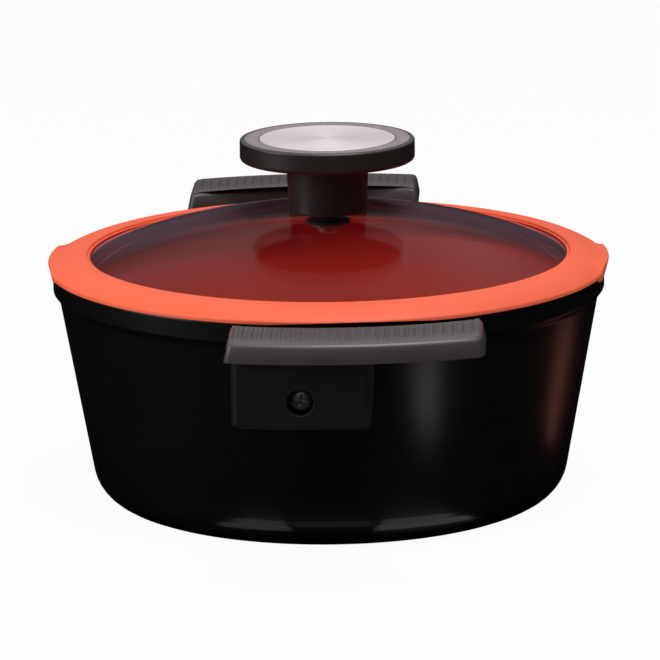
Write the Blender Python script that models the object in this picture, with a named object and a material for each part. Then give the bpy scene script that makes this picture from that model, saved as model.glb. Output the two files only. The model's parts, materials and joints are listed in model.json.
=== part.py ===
"""A low casserole pot: a cast aluminium pot with an offset handle on each side, and a lift-off lid.

The lid is a glass dome held in a wide silicone ring, with a mushroom knob screwed through the glass.
Metres, +Z up. The origin is the middle of the base, on the surface that the pot stands on.
The front handle is at -Y, the rear one is the same handle turned half round, and the lips are at +X and -X.
"""
import math

import bmesh
import bpy
from mathutils import Matrix, Vector

# Clearances
seat_gap = 0.0003
lug_clearance = 0.0003
thread_clearance = 0.0003
skirt_clearance = 0.0005
cut_overrun = 0.002

# Pot
pot_height = 0.1021
rim_radius = 0.1200
rim_wall = 0.0044
rim_edge_radius = 0.0008
band_height = 0.0084
band_slope_height = 0.0033
band_overhang = 0.0026
wall_thickness = 0.0040
floor_thickness = 0.0050
mouth_depth = 0.0070
mouth_slope_height = 0.0030
base_radius = 0.0872
base_corner_radius = 0.0168
inner_corner_radius = 0.0130
dish_radius = 0.0640
dish_slope = 0.0015
dish_depth = 0.0006

# Pouring lips, at both ends of the X axis
lip_drop = 0.0038
lip_half_width = 0.0300
lip_flat_half_width = 0.0210

# Handles, where across means along X from the handle's own middle line
arm_width = 0.0565
arm_offset = -0.0052
arm_setback = 0.0061
arm_depth = 0.0282
arm_corner_radius = 0.0030
arm_edge_radius = 0.0016
core_wall = 0.0050
core_roof = 0.0060
core_rib = 0.0030
core_draft = 0.0006
core_corner_radius = 0.0020
core_corner_share = 0.3
grip_length = 0.1062
grip_offset = 0.0169
grip_finger_gap = 0.0225
grip_depth = 0.0361
grip_drop = 0.0027
grip_thickness = 0.0082
grip_draft = 0.0016
grip_free_corner = 0.0050
grip_held_corner = 0.0024
grip_top_edge = 0.0011
grip_bottom_edge = 0.0004
tongue_margin = 0.0045
tongue_height = 0.0036
tongue_inset = 0.0065
tongue_setback = 0.0055

# Handle screws, which run along Y into a cast lug
screw_rise = 0.0114
lug_width = 0.0200
lug_height = 0.0140
lug_length = 0.0206
lug_sink_share = 0.5
lug_edge_radius = 0.0010
lug_hole_depth = 0.0150
handle_screw_radius = 0.0020
handle_screw_bite = 0.0123
handle_head_radius = 0.0039
handle_head_height = 0.0026
head_recess_depth = 0.0050
head_bore_radius = 0.0055
washer_thickness = 0.0009
washer_radius = 0.0046
cross_width = 0.0010
cross_length = 0.0042
cross_depth = 0.0014
head_edge_share = 0.35
screw_tip_share = 0.5

# Lid, with heights above the top of the pot's rim
ring_overhang = 0.0020
ring_width = 0.0171
ring_edge_thickness = 0.0015
ring_inner_height = 0.0068
ring_crown = 0.0016
ring_edge_round = 0.0004
ring_ledge_width = 0.0011
ring_ledge_height = 0.0006
ring_ledge_slope = 0.0004
ring_lower_lip = 0.0018
skirt_depth = 0.0050
skirt_wall = 0.0024
skirt_draft = 0.0003
lip_lift = 0.0014
lip_tuck = 0.0017
glass_bite = 0.0026
glass_rise = 0.0247
glass_edge_height = 0.0035
glass_thickness = 0.0040
glass_hole_radius = 0.0041

# Knob
knob_radius = 0.0380
knob_height = 0.0563
knob_disc_thickness = 0.0094
knob_top_round = 0.0012
knob_under_round = 0.0018
post_top_radius = 0.0179
post_foot_radius = 0.0169
post_foot_round = 0.0008
post_fillet = 0.0020
cap_radius = 0.0294
cap_thickness = 0.0010
cap_bevel = 0.0003
foot_recess_radius = 0.0140
upper_seal_thickness = 0.0010
upper_seal_margin = 0.0004
insert_radius = 0.0043
insert_length = 0.0110
insert_band_share = 0.33
insert_tip_room = 0.0012
knob_screw_radius = 0.0025
knob_screw_grip = 0.0170
knob_head_radius = 0.0048
knob_head_height = 0.0030
knob_washer_radius = 0.0080
knob_washer_thickness = 0.0010
lower_seal_radius = 0.0095
lower_seal_thickness = 0.0012
lower_seal_sleeve = 0.0028

# Counts of steps round a turn or along a curve
round_steps = 80
knob_steps = 36
bore_steps = 24
small_steps = 20
corner_steps = 5
crown_steps = 4
dome_steps = 5
grip_steps = 14
front_steps = 6
fillet_steps = 3
edge_steps = 2

# Points closer together than this share of the smallest gap or bevel are one point
merge_share = 0.1

# Edges that turn by more than this many degrees are shaded sharp
smooth_degrees = 30.0


def clear_scene():
    """Empties the scene."""
    for obj in list(bpy.data.objects):
        bpy.data.objects.remove(obj, do_unlink=True)


def material(name, colour, roughness, metallic=0.0, alpha=1.0):
    """A Principled material in one linear colour."""
    mat = bpy.data.materials.new(name)
    mat.use_nodes = True
    shader = mat.node_tree.nodes["Principled BSDF"]
    shader.inputs["Base Color"].default_value = (*colour, 1.0)
    shader.inputs["Roughness"].default_value = roughness
    shader.inputs["Metallic"].default_value = metallic
    shader.inputs["Alpha"].default_value = alpha
    return mat


def finish(name, bm, mat, parent=None):
    """Turns a bmesh into a named object with outward faces and smooth shading."""
    bmesh.ops.recalc_face_normals(bm, faces=bm.faces)
    mesh = bpy.data.meshes.new(name)
    bm.to_mesh(mesh)
    bm.free()
    mesh.shade_smooth()
    mesh.set_sharp_from_angle(angle=math.radians(smooth_degrees))
    obj = bpy.data.objects.new(name, mesh)
    bpy.context.scene.collection.objects.link(obj)
    if mat is not None:
        obj.data.materials.append(mat)
    obj.parent = parent
    return obj


def empty(name, location=(0.0, 0.0, 0.0), turn=0.0):
    """An empty that carries the pieces of one handle or of the lid."""
    obj = bpy.data.objects.new(name, None)
    obj.location = location
    obj.rotation_euler = (0.0, 0.0, turn)
    bpy.context.scene.collection.objects.link(obj)
    return obj


def cutter(name, bm, parent=None):
    """A helper shape for a Boolean, which isn't a piece of the pot."""
    obj = finish(name, bm, None, parent)
    obj.hide_render = True
    obj.display_type = "WIRE"
    return obj


def boolean(obj, tool, operation="DIFFERENCE"):
    """Adds an exact Boolean with a helper shape."""
    mod = obj.modifiers.new(operation.title(), "BOOLEAN")
    mod.operation = operation
    mod.solver = "EXACT"
    mod.object = tool


def arc(centre_r, centre_z, radius, start, end, steps):
    """Points of an arc in the (r, z) plane, from one angle to another."""
    points = []
    for i in range(steps + 1):
        angle = start + (end - start) * i / steps
        points.append((centre_r + radius * math.cos(angle), centre_z + radius * math.sin(angle)))
    return points


def arc_through(first, last, bulge, steps):
    """Points of an arc between two points, bulging to the left of the way by the given height."""
    run = Vector(last) - Vector(first)
    half = run.length / 2
    radius = (half * half + bulge * bulge) / (2 * bulge)
    normal = Vector((-run.y, run.x)).normalized()
    centre = (Vector(first) + Vector(last)) / 2 - normal * (radius - bulge)
    start = math.atan2(first[1] - centre.y, first[0] - centre.x)
    end = math.atan2(last[1] - centre.y, last[0] - centre.x)
    return arc(centre.x, centre.y, radius, start, end, steps)


def revolve(profile, steps, closed=False):
    """Spins an (r, z) profile about Z. An open profile starts and ends on the axis."""
    bm = bmesh.new()
    verts = [bm.verts.new((r, 0.0, z)) for r, z in profile]
    pairs = list(zip(verts[:-1], verts[1:]))
    if closed:
        pairs.append((verts[-1], verts[0]))
    edges = [bm.edges.new(pair) for pair in pairs]
    bmesh.ops.spin(
        bm, geom=verts + edges, cent=(0.0, 0.0, 0.0), axis=(0.0, 0.0, 1.0), angle=math.tau, steps=steps
    )
    bmesh.ops.remove_doubles(bm, verts=bm.verts, dist=merge_distance)
    bmesh.ops.dissolve_degenerate(bm, dist=merge_distance * merge_share, edges=bm.edges)
    return bm


def box(low, high):
    """A plain block between two corners."""
    bm = bmesh.new()
    bmesh.ops.create_cube(bm, size=1.0)
    size = Vector(high) - Vector(low)
    middle = (Vector(high) + Vector(low)) / 2
    bmesh.ops.scale(bm, vec=size, verts=bm.verts)
    bmesh.ops.translate(bm, vec=middle, verts=bm.verts)
    return bm


def along_y(bm, x, y, z):
    """Lays a shape that was turned about Z along the handle's screw, its top facing -Y, at a place."""
    turn = Matrix.Rotation(math.radians(90.0), 4, "X")
    bmesh.ops.transform(bm, matrix=Matrix.Translation((x, y, z)) @ turn, verts=bm.verts)
    return bm


def smoothstep(t):
    """Eases from 0 to 1."""
    t = min(1.0, max(0.0, t))
    return t * t * (3.0 - 2.0 * t)


def lip_share(x, y):
    """How far a point lies inside a pouring lip: 1 in its middle, 0 away from it."""
    radius = math.hypot(x, y)
    if radius == 0.0:
        return 0.0
    beside = abs(y) / radius * rim_radius
    return smoothstep((lip_half_width - beside) / (lip_half_width - lip_flat_half_width))


# The pot's wall, whose lines the handles follow as well
neck_radius = rim_radius - band_overhang
band_bottom = pot_height - band_height
neck_height = band_bottom - band_slope_height

# The mouth, the ring's skirt that hangs in it, and the glass that the ring holds
mouth_radius = rim_radius - rim_wall
skirt_radius = mouth_radius - skirt_clearance
ring_outer_radius = rim_radius + ring_overhang
ring_inner_radius = ring_outer_radius - ring_width
glass_radius = ring_inner_radius + glass_bite

# The grip clears the ring by the width of a finger, and the arm ends behind the grip's front edge
grip_inner_radius = ring_outer_radius + grip_finger_gap
grip_outer_radius = grip_inner_radius + grip_depth
grip_bottom = pot_height - grip_drop
arm_reach = grip_outer_radius - arm_setback
arm_top = grip_bottom - seat_gap
arm_bottom = arm_top - arm_depth
arm_left = arm_offset - arm_width / 2
arm_right = arm_offset + arm_width / 2
tongue_inner_radius = grip_inner_radius + tongue_inset
tongue_outer_radius = arm_reach - tongue_setback

# The screw's axis, the lug that takes it, and the sides of the lug's pocket in the arm
screw_height = arm_bottom + screw_rise
lug_reach = neck_radius + lug_length
pocket_left = arm_offset - lug_width / 2 - lug_clearance
pocket_right = arm_offset + lug_width / 2 + lug_clearance

# What counts as one place
merge_distance = min(seat_gap, cap_bevel, ring_edge_round) * merge_share


def wall_lean():
    """Angle of the wall's outward normal above the horizontal at the base corner, which is below it."""
    dr = neck_radius - base_radius
    dz = neck_height - base_corner_radius
    reach = math.hypot(dr, dz)
    return math.atan2(dz, dr) - math.acos(base_corner_radius / reach)


def wall_radius(z):
    """Outer radius of the straight wall at a height."""
    lean = wall_lean()
    return neck_radius + (neck_height - z) * math.tan(lean)


def outer_profile(grow=0.0):
    """The pot's outside from the flat of the base up to the band, grown outwards by a clearance."""
    lean = wall_lean()
    radius = base_corner_radius + grow
    points = arc(base_radius, base_corner_radius, radius, -math.pi / 2, lean, corner_steps)
    out = grow / math.cos(lean)
    points.append((neck_radius + out, neck_height))
    points.append((rim_radius + grow, band_bottom))
    return points


def inner_profile():
    """The pot's inside from the mouth down to the middle of its floor."""
    lean = wall_lean()
    shift = wall_thickness / math.cos(lean)
    top = pot_height - rim_edge_radius
    seat = pot_height - mouth_depth
    wall_start = seat - mouth_slope_height
    centre_z = floor_thickness + inner_corner_radius
    centre_r = wall_radius(centre_z) - shift - inner_corner_radius / math.cos(lean)
    points = [(mouth_radius, top), (mouth_radius, seat), (wall_radius(wall_start) - shift, wall_start)]
    points += arc(centre_r, centre_z, inner_corner_radius, lean, -math.pi / 2, corner_steps)
    points.append((0.0, floor_thickness))
    return points


def make_pot(mat):
    """The cast pot: one turned shell, with its rim dipping at the lips and a lug for each handle."""
    points = [(0.0, dish_depth), (dish_radius - dish_slope, dish_depth), (dish_radius, 0.0)]
    points += outer_profile()
    points.append((rim_radius, pot_height - rim_edge_radius))
    points.append((rim_radius - rim_edge_radius, pot_height))
    points.append((mouth_radius + rim_edge_radius, pot_height))
    points += inner_profile()
    bm = revolve(points, round_steps)
    above = pot_height - 2 * rim_edge_radius
    for vert in bm.verts:
        if vert.co.z > above:
            vert.co.z -= lip_drop * lip_share(vert.co.x, vert.co.y)
    pot = finish("pot_body", bm, mat)
    for name, turn in (("front", 0.0), ("rear", math.pi)):
        holder = empty(name + "_lug_place", turn=turn)
        boolean(pot, cutter(name + "_lug", make_lug(), holder), "UNION")
    for name, turn in (("front", 0.0), ("rear", math.pi)):
        holder = empty(name + "_lug_hole_place", turn=turn)
        boolean(pot, cutter(name + "_lug_hole", lug_hole(), holder))
    return pot


def lug_corners(grow=0.0):
    """Corners of the cast lug as rings of four, from inside the wall to its outer end."""
    rings = []
    half_width = lug_width / 2 + grow
    half_height = lug_height / 2 + grow
    ring = []
    for side, level in ((-1, -1), (1, -1), (1, 1), (-1, 1)):
        x = arm_offset + side * half_width
        z = screw_height + level * half_height
        radius = wall_radius(z) - wall_thickness * lug_sink_share
        ring.append((x, -math.sqrt(radius * radius - x * x), z))
    rings.append(ring)
    ring = []
    for x, y, z in rings[0]:
        ring.append((x, -lug_reach - grow, z))
    rings.append(ring)
    return rings


def loft_rings(rings):
    """A closed solid through rings of points, with flat ends."""
    bm = bmesh.new()
    loops = [[bm.verts.new(point) for point in ring] for ring in rings]
    count = len(loops[0])
    for lower, upper in zip(loops[:-1], loops[1:]):
        for i in range(count):
            j = (i + 1) % count
            bm.faces.new((lower[i], lower[j], upper[j], upper[i]))
    bm.faces.new(loops[0][::-1])
    bm.faces.new(loops[-1])
    return bm


def make_lug():
    """The lug's solid, its outer edges rounded."""
    bm = loft_rings(lug_corners())
    ends = [e for e in bm.edges if all(abs(v.co.y + lug_reach) < merge_distance for v in e.verts)]
    round_edges(bm, ends, lug_edge_radius, edge_steps)
    return bm


def lug_hole():
    """The tapped hole in the end of the lug."""
    radius = handle_screw_radius + thread_clearance
    profile = [(0.0, cut_overrun), (radius, cut_overrun), (radius, -lug_hole_depth), (0.0, -lug_hole_depth)]
    return along_y(revolve(profile, small_steps), arm_offset, -lug_reach, screw_height)


def sector(left, right, inner, outer, steps, grow=0.0):
    """Outline between two arcs about the pot's axis, cut off square at its ends, seen from above."""
    left -= grow
    right += grow
    points = []
    for i in range(steps + 1):
        x = left + (right - left) * i / steps
        points.append((x, -math.sqrt((outer + grow) ** 2 - x * x)))
    for i in range(steps + 1):
        x = right + (left - right) * i / steps
        points.append((x, -math.sqrt((inner - grow) ** 2 - x * x)))
    return points


def upright_edges(bm, x, y, reach):
    """The upright edges that stand within reach of a place seen from above."""
    found = []
    for edge in bm.edges:
        a, b = (v.co for v in edge.verts)
        if abs(a.z - b.z) < max(abs(a.x - b.x), abs(a.y - b.y)):
            continue
        middle = (a + b) / 2
        if math.hypot(middle.x - x, middle.y - y) < reach:
            found.append(edge)
    return found


def level_edges(bm, z):
    """The edges that lie at one height."""
    return [e for e in bm.edges if all(abs(v.co.z - z) < merge_distance for v in e.verts)]


def round_edges(bm, edges, radius, steps):
    """Rounds edges to a radius."""
    bmesh.ops.bevel(bm, geom=edges, offset=radius, segments=steps, affect="EDGES", profile=0.5)


def make_arm(name, mats, parent):
    """The moulded arm: a block from the pot's wall out to under the grip, with a tongue on top."""
    back = neck_radius - wall_thickness
    outline = sector(arm_left, arm_right, back, arm_reach, front_steps)
    bm = loft_rings([[(x, y, z) for x, y in outline] for z in (arm_bottom, arm_top)])
    for x in (arm_left, arm_right):
        y = -math.sqrt(arm_reach ** 2 - x * x)
        round_edges(bm, upright_edges(bm, x, y, arm_edge_radius), arm_corner_radius, fillet_steps)
    round_edges(bm, level_edges(bm, arm_bottom), arm_edge_radius, edge_steps)
    arm = finish(name, bm, mats["phenolic"], parent)
    boolean(arm, cutter(name + "_tongue", make_tongue(0.0, -cut_overrun), parent), "UNION")
    boolean(arm, cutter(name + "_wall_cut", pot_envelope(), parent))
    boolean(arm, cutter(name + "_lug_pocket", loft_rings(lug_corners(lug_clearance)), parent))
    boolean(arm, cutter(name + "_bore", arm_bore(), parent))
    for i, (left, right) in enumerate(((arm_left, pocket_left), (pocket_right, arm_right))):
        for j, (inner, outer) in enumerate(core_rows()):
            core = arm_core(left + core_wall, right - core_wall, inner, outer)
            boolean(arm, cutter(f"{name}_core_{i}_{j}", core, parent))
    return arm


def core_rows():
    """Radii of the hollows under the arm: one row near the pot and one near the face, with a rib between."""
    inner = neck_radius + core_wall
    outer = arm_reach - core_wall
    middle = (inner + outer) / 2
    return (inner, middle - core_rib / 2), (middle + core_rib / 2, outer)


def arm_core(left, right, inner, outer):
    """One of the hollows that open at the arm's underside and leave it with even walls."""
    foot = sector(left, right, inner, outer, edge_steps)
    crest = sector(left, right, inner, outer, edge_steps, -core_draft)
    low = arm_bottom - cut_overrun
    high = arm_top - core_roof
    bm = loft_rings([[(x, y, low) for x, y in foot], [(x, y, high) for x, y in crest]])
    corner = min(core_corner_radius, (right - left) * core_corner_share)
    edges = []
    for x in (left, right):
        for radius in (inner, outer):
            edges += upright_edges(bm, x, -math.sqrt(radius ** 2 - x * x), 2 * core_draft)
    round_edges(bm, edges, corner, edge_steps)
    return bm


def make_tongue(grow, foot):
    """The tongue that keys the grip to the arm, grown by a clearance for the grip's slot."""
    left = arm_left + tongue_margin
    right = arm_right - tongue_margin
    low = arm_top + foot
    high = arm_top + tongue_height + grow
    outline = sector(left, right, tongue_inner_radius, tongue_outer_radius, edge_steps, grow)
    return loft_rings([[(x, y, z) for x, y in outline] for z in (low, high)])


def pot_envelope():
    """What the arm is cut back by so that it fits the pot's wall and band."""
    profile = [(0.0, -seat_gap)]
    profile += outer_profile(seat_gap)
    profile.append((rim_radius + seat_gap, pot_height + cut_overrun))
    profile.append((0.0, pot_height + cut_overrun))
    return revolve(profile, round_steps)


def arm_face_y():
    """Where the arm's front face is met by the screw's axis."""
    return -math.sqrt(arm_reach ** 2 - arm_offset ** 2)


def bore_depth():
    """Depth of the bore that the screw's head and washer sit in."""
    return head_recess_depth + handle_head_height + washer_thickness + 2 * seat_gap


def arm_bore():
    """The stepped hole for the screw, from the arm's front face through to the lug."""
    face = arm_face_y()
    shaft = handle_screw_radius + thread_clearance
    wide_end = bore_depth()
    shaft_end = -lug_reach - face - lug_clearance + cut_overrun
    profile = [
        (0.0, cut_overrun),
        (head_bore_radius, cut_overrun),
        (head_bore_radius, -wide_end),
        (shaft, -wide_end),
        (shaft, -shaft_end),
        (0.0, -shaft_end),
    ]
    return along_y(revolve(profile, bore_steps), arm_offset, face, screw_height)


def make_handle_screw(name, mats, parent):
    """A pan-headed cross screw along Y, its head sunk in the arm's bore and its end in the lug."""
    start = arm_face_y() + head_recess_depth
    edge = handle_head_height * head_edge_share
    tip = start + lug_reach - handle_screw_bite
    profile = [
        (0.0, 0.0),
        (handle_head_radius - edge, 0.0),
        (handle_head_radius, -edge),
        (handle_head_radius, -handle_head_height),
        (handle_screw_radius, -handle_head_height),
        (handle_screw_radius, tip + handle_screw_radius),
        (handle_screw_radius * screw_tip_share, tip),
        (0.0, tip),
    ]
    bm = along_y(revolve(profile, small_steps), arm_offset, start, screw_height)
    screw = finish(name, bm, mats["zinc"], parent)
    for i, turn in enumerate((0.0, math.pi / 2)):
        bm = box(
            (-cross_length / 2, -cross_width / 2, -cross_depth),
            (cross_length / 2, cross_width / 2, cut_overrun),
        )
        bmesh.ops.transform(bm, matrix=Matrix.Rotation(turn + math.pi / 4, 4, "Z"), verts=bm.verts)
        along_y(bm, arm_offset, start, screw_height)
        boolean(screw, cutter(f"{name}_cross_{i}", bm, parent))
    return screw


def make_handle_washer(name, mats, parent):
    """The flat washer under the screw's head."""
    start = arm_face_y() + head_recess_depth + handle_head_height + seat_gap
    hole = handle_screw_radius + thread_clearance
    low = -washer_thickness
    profile = [(hole, 0.0), (washer_radius, 0.0), (washer_radius, low), (hole, low)]
    bm = along_y(revolve(profile, small_steps, closed=True), arm_offset, start, screw_height)
    return finish(name, bm, mats["zinc"], parent)


def make_grip(name, mats, parent):
    """The grip: a flat bar that follows the pot, wider at its foot, with a slot below for the tongue."""
    left = grip_offset - grip_length / 2
    right = grip_offset + grip_length / 2
    top = grip_bottom + grip_thickness
    foot = sector(left, right, grip_inner_radius, grip_outer_radius, grip_steps)
    crest = sector(left, right, grip_inner_radius, grip_outer_radius, grip_steps, -grip_draft)
    bm = loft_rings([[(x, y, grip_bottom) for x, y in foot], [(x, y, top) for x, y in crest]])
    near = 2 * grip_draft
    for x, corner in ((left, grip_held_corner), (right, grip_free_corner)):
        edges = []
        for radius in (grip_inner_radius, grip_outer_radius):
            edges += upright_edges(bm, x, -math.sqrt(radius ** 2 - x * x), near)
        round_edges(bm, edges, corner, fillet_steps)
    round_edges(bm, level_edges(bm, top), grip_top_edge, edge_steps)
    round_edges(bm, level_edges(bm, grip_bottom), grip_bottom_edge, 1)
    grip = finish(name, bm, mats["grip"], parent)
    slot = make_tongue(seat_gap, -cut_overrun)
    boolean(grip, cutter(name + "_slot", slot, parent))
    return grip


def glass_height(r, depth=0.0):
    """Height of the dome above the rim at a radius, depth below its upper surface."""
    dome = glass_rise - glass_edge_height
    sphere_radius = (glass_radius * glass_radius + dome * dome) / (2 * dome)
    radius = sphere_radius - depth
    return glass_rise - sphere_radius + math.sqrt(radius * radius - r * r)


def make_glass(mats, parent):
    """The tempered glass dome: a slice of a thick sphere with a hole at its top."""
    upper = []
    lower = []
    for i in range(dome_steps + 1):
        r = glass_hole_radius + (glass_radius - glass_hole_radius) * i / dome_steps
        upper.append((r, glass_height(r)))
        lower.append((r, glass_height(r, glass_thickness)))
    return finish("lid_glass", revolve(upper + lower[::-1], round_steps, closed=True), mats["glass"], parent)


def ring_profile():
    """The ring's section: crowned top, edge, seat on the rim, skirt in the mouth, groove for the glass."""
    lip_r = ring_inner_radius - ring_ledge_width
    groove_r = glass_radius + seat_gap
    ledge = glass_height(lip_r) + seat_gap + ring_ledge_height
    edge_top = seat_gap + ring_edge_thickness
    skirt_inner = skirt_radius - skirt_wall
    skirt_low = skirt_radius - skirt_draft
    under_glass = glass_height(groove_r, glass_thickness) - seat_gap
    lip_under = glass_height(lip_r, glass_thickness) - seat_gap
    points = [(lip_r, glass_height(lip_r) + seat_gap), (lip_r, ledge)]
    points.append((ring_inner_radius, ledge - ring_ledge_slope))
    points.append((ring_inner_radius, ring_inner_height - ring_edge_round))
    start = (ring_inner_radius + ring_edge_round, ring_inner_height)
    points += arc_through(start, (ring_outer_radius, edge_top), ring_crown, crown_steps)
    points.append((ring_outer_radius, seat_gap))
    points.append((skirt_radius, seat_gap))
    points.append((skirt_low, -skirt_depth + ring_edge_round))
    points.append((skirt_low - ring_edge_round, -skirt_depth))
    points.append((skirt_inner + ring_edge_round, -skirt_depth))
    points.append((skirt_inner, -skirt_depth + ring_edge_round))
    points.append((skirt_inner - skirt_draft, under_glass - ring_lower_lip))
    points.append((groove_r, under_glass - ring_lower_lip))
    points.append((lip_r, lip_under - ring_lower_lip))
    points.append((lip_r, lip_under))
    points.append((groove_r, under_glass))
    points.append((groove_r, glass_height(groove_r) + seat_gap))
    return points


def make_ring(mats, parent):
    """The silicone ring, whose rim is thicker and hangs lower over each pouring lip."""
    bm = revolve(ring_profile(), round_steps, closed=True)
    for vert in bm.verts:
        x, y, z = vert.co
        radius = math.hypot(x, y)
        share = lip_share(x, y)
        if share == 0.0 or radius < skirt_radius - merge_distance:
            continue
        along = (radius - skirt_radius) / (ring_outer_radius - skirt_radius)
        if abs(z - seat_gap) < merge_distance:
            inward = lip_tuck * share * along
            vert.co -= Vector((inward * x / radius, inward * y / radius, lip_drop * share))
        elif z > seat_gap:
            vert.co.z += lip_lift * share * along * along
    return finish("lid_ring", bm, mats["silicone"], parent)


def foot_height():
    """Height of the foot of the knob's post, just clear of the dome round its seal."""
    return glass_height(foot_recess_radius) + seat_gap


def upper_seal_levels():
    """Bottom and top of the seal between the knob's post and the glass."""
    low = glass_rise + seat_gap
    return low, low + upper_seal_thickness


def make_knob(mats, parent):
    """The moulded knob: a disc on a tapered post, with a recess for the cap and one for the seal."""
    under = knob_height - knob_disc_thickness
    recess = knob_height - cap_thickness - seat_gap
    seal_top = upper_seal_levels()[1] + seat_gap
    pocket = insert_radius + thread_clearance
    pocket_top = seal_top + insert_length + insert_tip_room
    foot = foot_height()
    profile = [(0.0, recess), (cap_radius + seat_gap, recess), (cap_radius + seat_gap, knob_height)]
    quarter = math.pi / 2
    r, z = knob_radius - knob_top_round, knob_height - knob_top_round
    profile += arc(r, z, knob_top_round, quarter, 0.0, fillet_steps)
    r, z = knob_radius - knob_under_round, under + knob_under_round
    profile += arc(r, z, knob_under_round, 0.0, -quarter, fillet_steps)
    r, z = post_top_radius + post_fillet, under - post_fillet
    profile += arc(r, z, post_fillet, quarter, 2 * quarter, fillet_steps)
    profile.append((post_foot_radius, foot + post_foot_round))
    profile.append((post_foot_radius - post_foot_round, foot))
    profile.append((foot_recess_radius, foot))
    profile.append((foot_recess_radius, seal_top))
    profile.append((pocket, seal_top))
    profile.append((pocket, pocket_top))
    profile.append((0.0, pocket_top))
    return finish("lid_knob", revolve(profile, knob_steps), mats["knob"], parent)


def make_cap(mats, parent):
    """The steel disc let into the top of the knob."""
    top = knob_height
    low = top - cap_thickness
    profile = [
        (0.0, top),
        (cap_radius - cap_bevel, top),
        (cap_radius, top - cap_bevel),
        (cap_radius, low),
        (0.0, low),
    ]
    return finish("knob_cap", revolve(profile, knob_steps), mats["steel"], parent)


def make_upper_seal(mats, parent):
    """The soft washer between the knob's post and the glass."""
    low, high = upper_seal_levels()
    outer = foot_recess_radius - upper_seal_margin
    profile = [(glass_hole_radius, high), (outer, high), (outer, low), (glass_hole_radius, low)]
    return finish("knob_upper_seal", revolve(profile, bore_steps, closed=True), mats["seal"], parent)


def make_insert(mats, parent):
    """The threaded brass insert moulded into the knob's post."""
    low = upper_seal_levels()[1] + seat_gap
    high = low + insert_length
    hole = knob_screw_radius + thread_clearance
    groove = insert_radius - thread_clearance
    band = insert_length * insert_band_share
    profile = [
        (hole, high),
        (insert_radius, high),
        (insert_radius, high - band),
        (groove, high - band),
        (groove, low + band),
        (insert_radius, low + band),
        (insert_radius, low),
        (hole, low),
    ]
    return finish("knob_insert", revolve(profile, small_steps, closed=True), mats["brass"], parent)


def lower_seal_levels():
    """Bottom and top of the flange of the seal under the glass."""
    high = glass_height(lower_seal_radius, glass_thickness) - seat_gap
    return high - lower_seal_thickness, high


def make_lower_seal(mats, parent):
    """The flanged seal under the glass, whose sleeve keeps the screw off the hole's edge."""
    low, high = lower_seal_levels()
    hole = knob_screw_radius + thread_clearance
    sleeve = glass_hole_radius - seat_gap
    profile = [
        (hole, high + lower_seal_sleeve),
        (sleeve, high + lower_seal_sleeve),
        (sleeve, high),
        (lower_seal_radius, high),
        (lower_seal_radius, low),
        (hole, low),
    ]
    return finish("knob_lower_seal", revolve(profile, bore_steps, closed=True), mats["seal"], parent)


def make_knob_washer(mats, parent):
    """The steel washer between the lower seal and the screw's head."""
    high = lower_seal_levels()[0] - seat_gap
    low = high - knob_washer_thickness
    hole = knob_screw_radius + thread_clearance
    profile = [(hole, high), (knob_washer_radius, high), (knob_washer_radius, low), (hole, low)]
    return finish("knob_washer", revolve(profile, bore_steps, closed=True), mats["steel"], parent)


def make_knob_screw(mats, parent):
    """The screw that comes up through the glass into the knob's insert, its cross facing down."""
    seat = lower_seal_levels()[0] - knob_washer_thickness - 2 * seat_gap
    face = seat - knob_head_height
    edge = knob_head_height * head_edge_share
    tip = seat + knob_screw_grip
    profile = [
        (0.0, tip),
        (knob_screw_radius * screw_tip_share, tip),
        (knob_screw_radius, tip - knob_screw_radius * screw_tip_share),
        (knob_screw_radius, seat),
        (knob_head_radius, seat),
        (knob_head_radius, face + edge),
        (knob_head_radius - edge, face),
        (0.0, face),
    ]
    screw = finish("knob_screw", revolve(profile, small_steps), mats["steel"], parent)
    for i, turn in enumerate((0.0, math.pi / 2)):
        bm = box(
            (-cross_length / 2, -cross_width / 2, face - cut_overrun),
            (cross_length / 2, cross_width / 2, face + cross_depth),
        )
        bmesh.ops.transform(bm, matrix=Matrix.Rotation(turn, 4, "Z"), verts=bm.verts)
        boolean(screw, cutter(f"knob_screw_cross_{i}", bm, parent))
    return screw


def make_materials():
    """One material for each finish, in the photographed colours."""
    return {
        "pot": material("black_enamel", (0.004, 0.004, 0.005), 0.22),
        "phenolic": material("black_phenolic", (0.010, 0.010, 0.009), 0.45),
        "grip": material("soft_touch_grip", (0.020, 0.017, 0.018), 0.60),
        "knob": material("matt_black_knob", (0.014, 0.013, 0.013), 0.50),
        "silicone": material("orange_silicone", (1.000, 0.150, 0.075), 0.55),
        "seal": material("grey_silicone_seal", (0.250, 0.250, 0.250), 0.60),
        "glass": material("tempered_glass", (0.850, 0.850, 0.860), 0.05, alpha=0.35),
        "steel": material("brushed_stainless", (0.560, 0.540, 0.530), 0.30, 1.0),
        "zinc": material("black_zinc_steel", (0.045, 0.045, 0.048), 0.40, 1.0),
        "brass": material("brass", (0.550, 0.370, 0.120), 0.35, 1.0),
    }


def make_handle(end, turn, mats):
    """One handle: its arm, grip, screw and washer, on an empty turned about the pot's axis."""
    place = empty(end + "_handle_place", turn=turn)
    make_arm(end + "_handle_arm", mats, place)
    make_grip(end + "_handle_grip", mats, place)
    make_handle_screw(end + "_handle_screw", mats, place)
    make_handle_washer(end + "_handle_washer", mats, place)


def make_lid(mats):
    """The lid's pieces, on an empty at the middle of the pot's mouth."""
    place = empty("lid_place", (0.0, 0.0, pot_height))
    make_ring(mats, place)
    make_glass(mats, place)
    make_knob(mats, place)
    make_cap(mats, place)
    make_upper_seal(mats, place)
    make_insert(mats, place)
    make_lower_seal(mats, place)
    make_knob_washer(mats, place)
    make_knob_screw(mats, place)


def main():
    """Builds the whole pot."""
    clear_scene()
    mats = make_materials()
    make_pot(mats["pot"])
    make_handle("front", 0.0, mats)
    make_handle("rear", math.pi, mats)
    make_lid(mats)
    bpy.context.view_layer.update()


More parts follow.
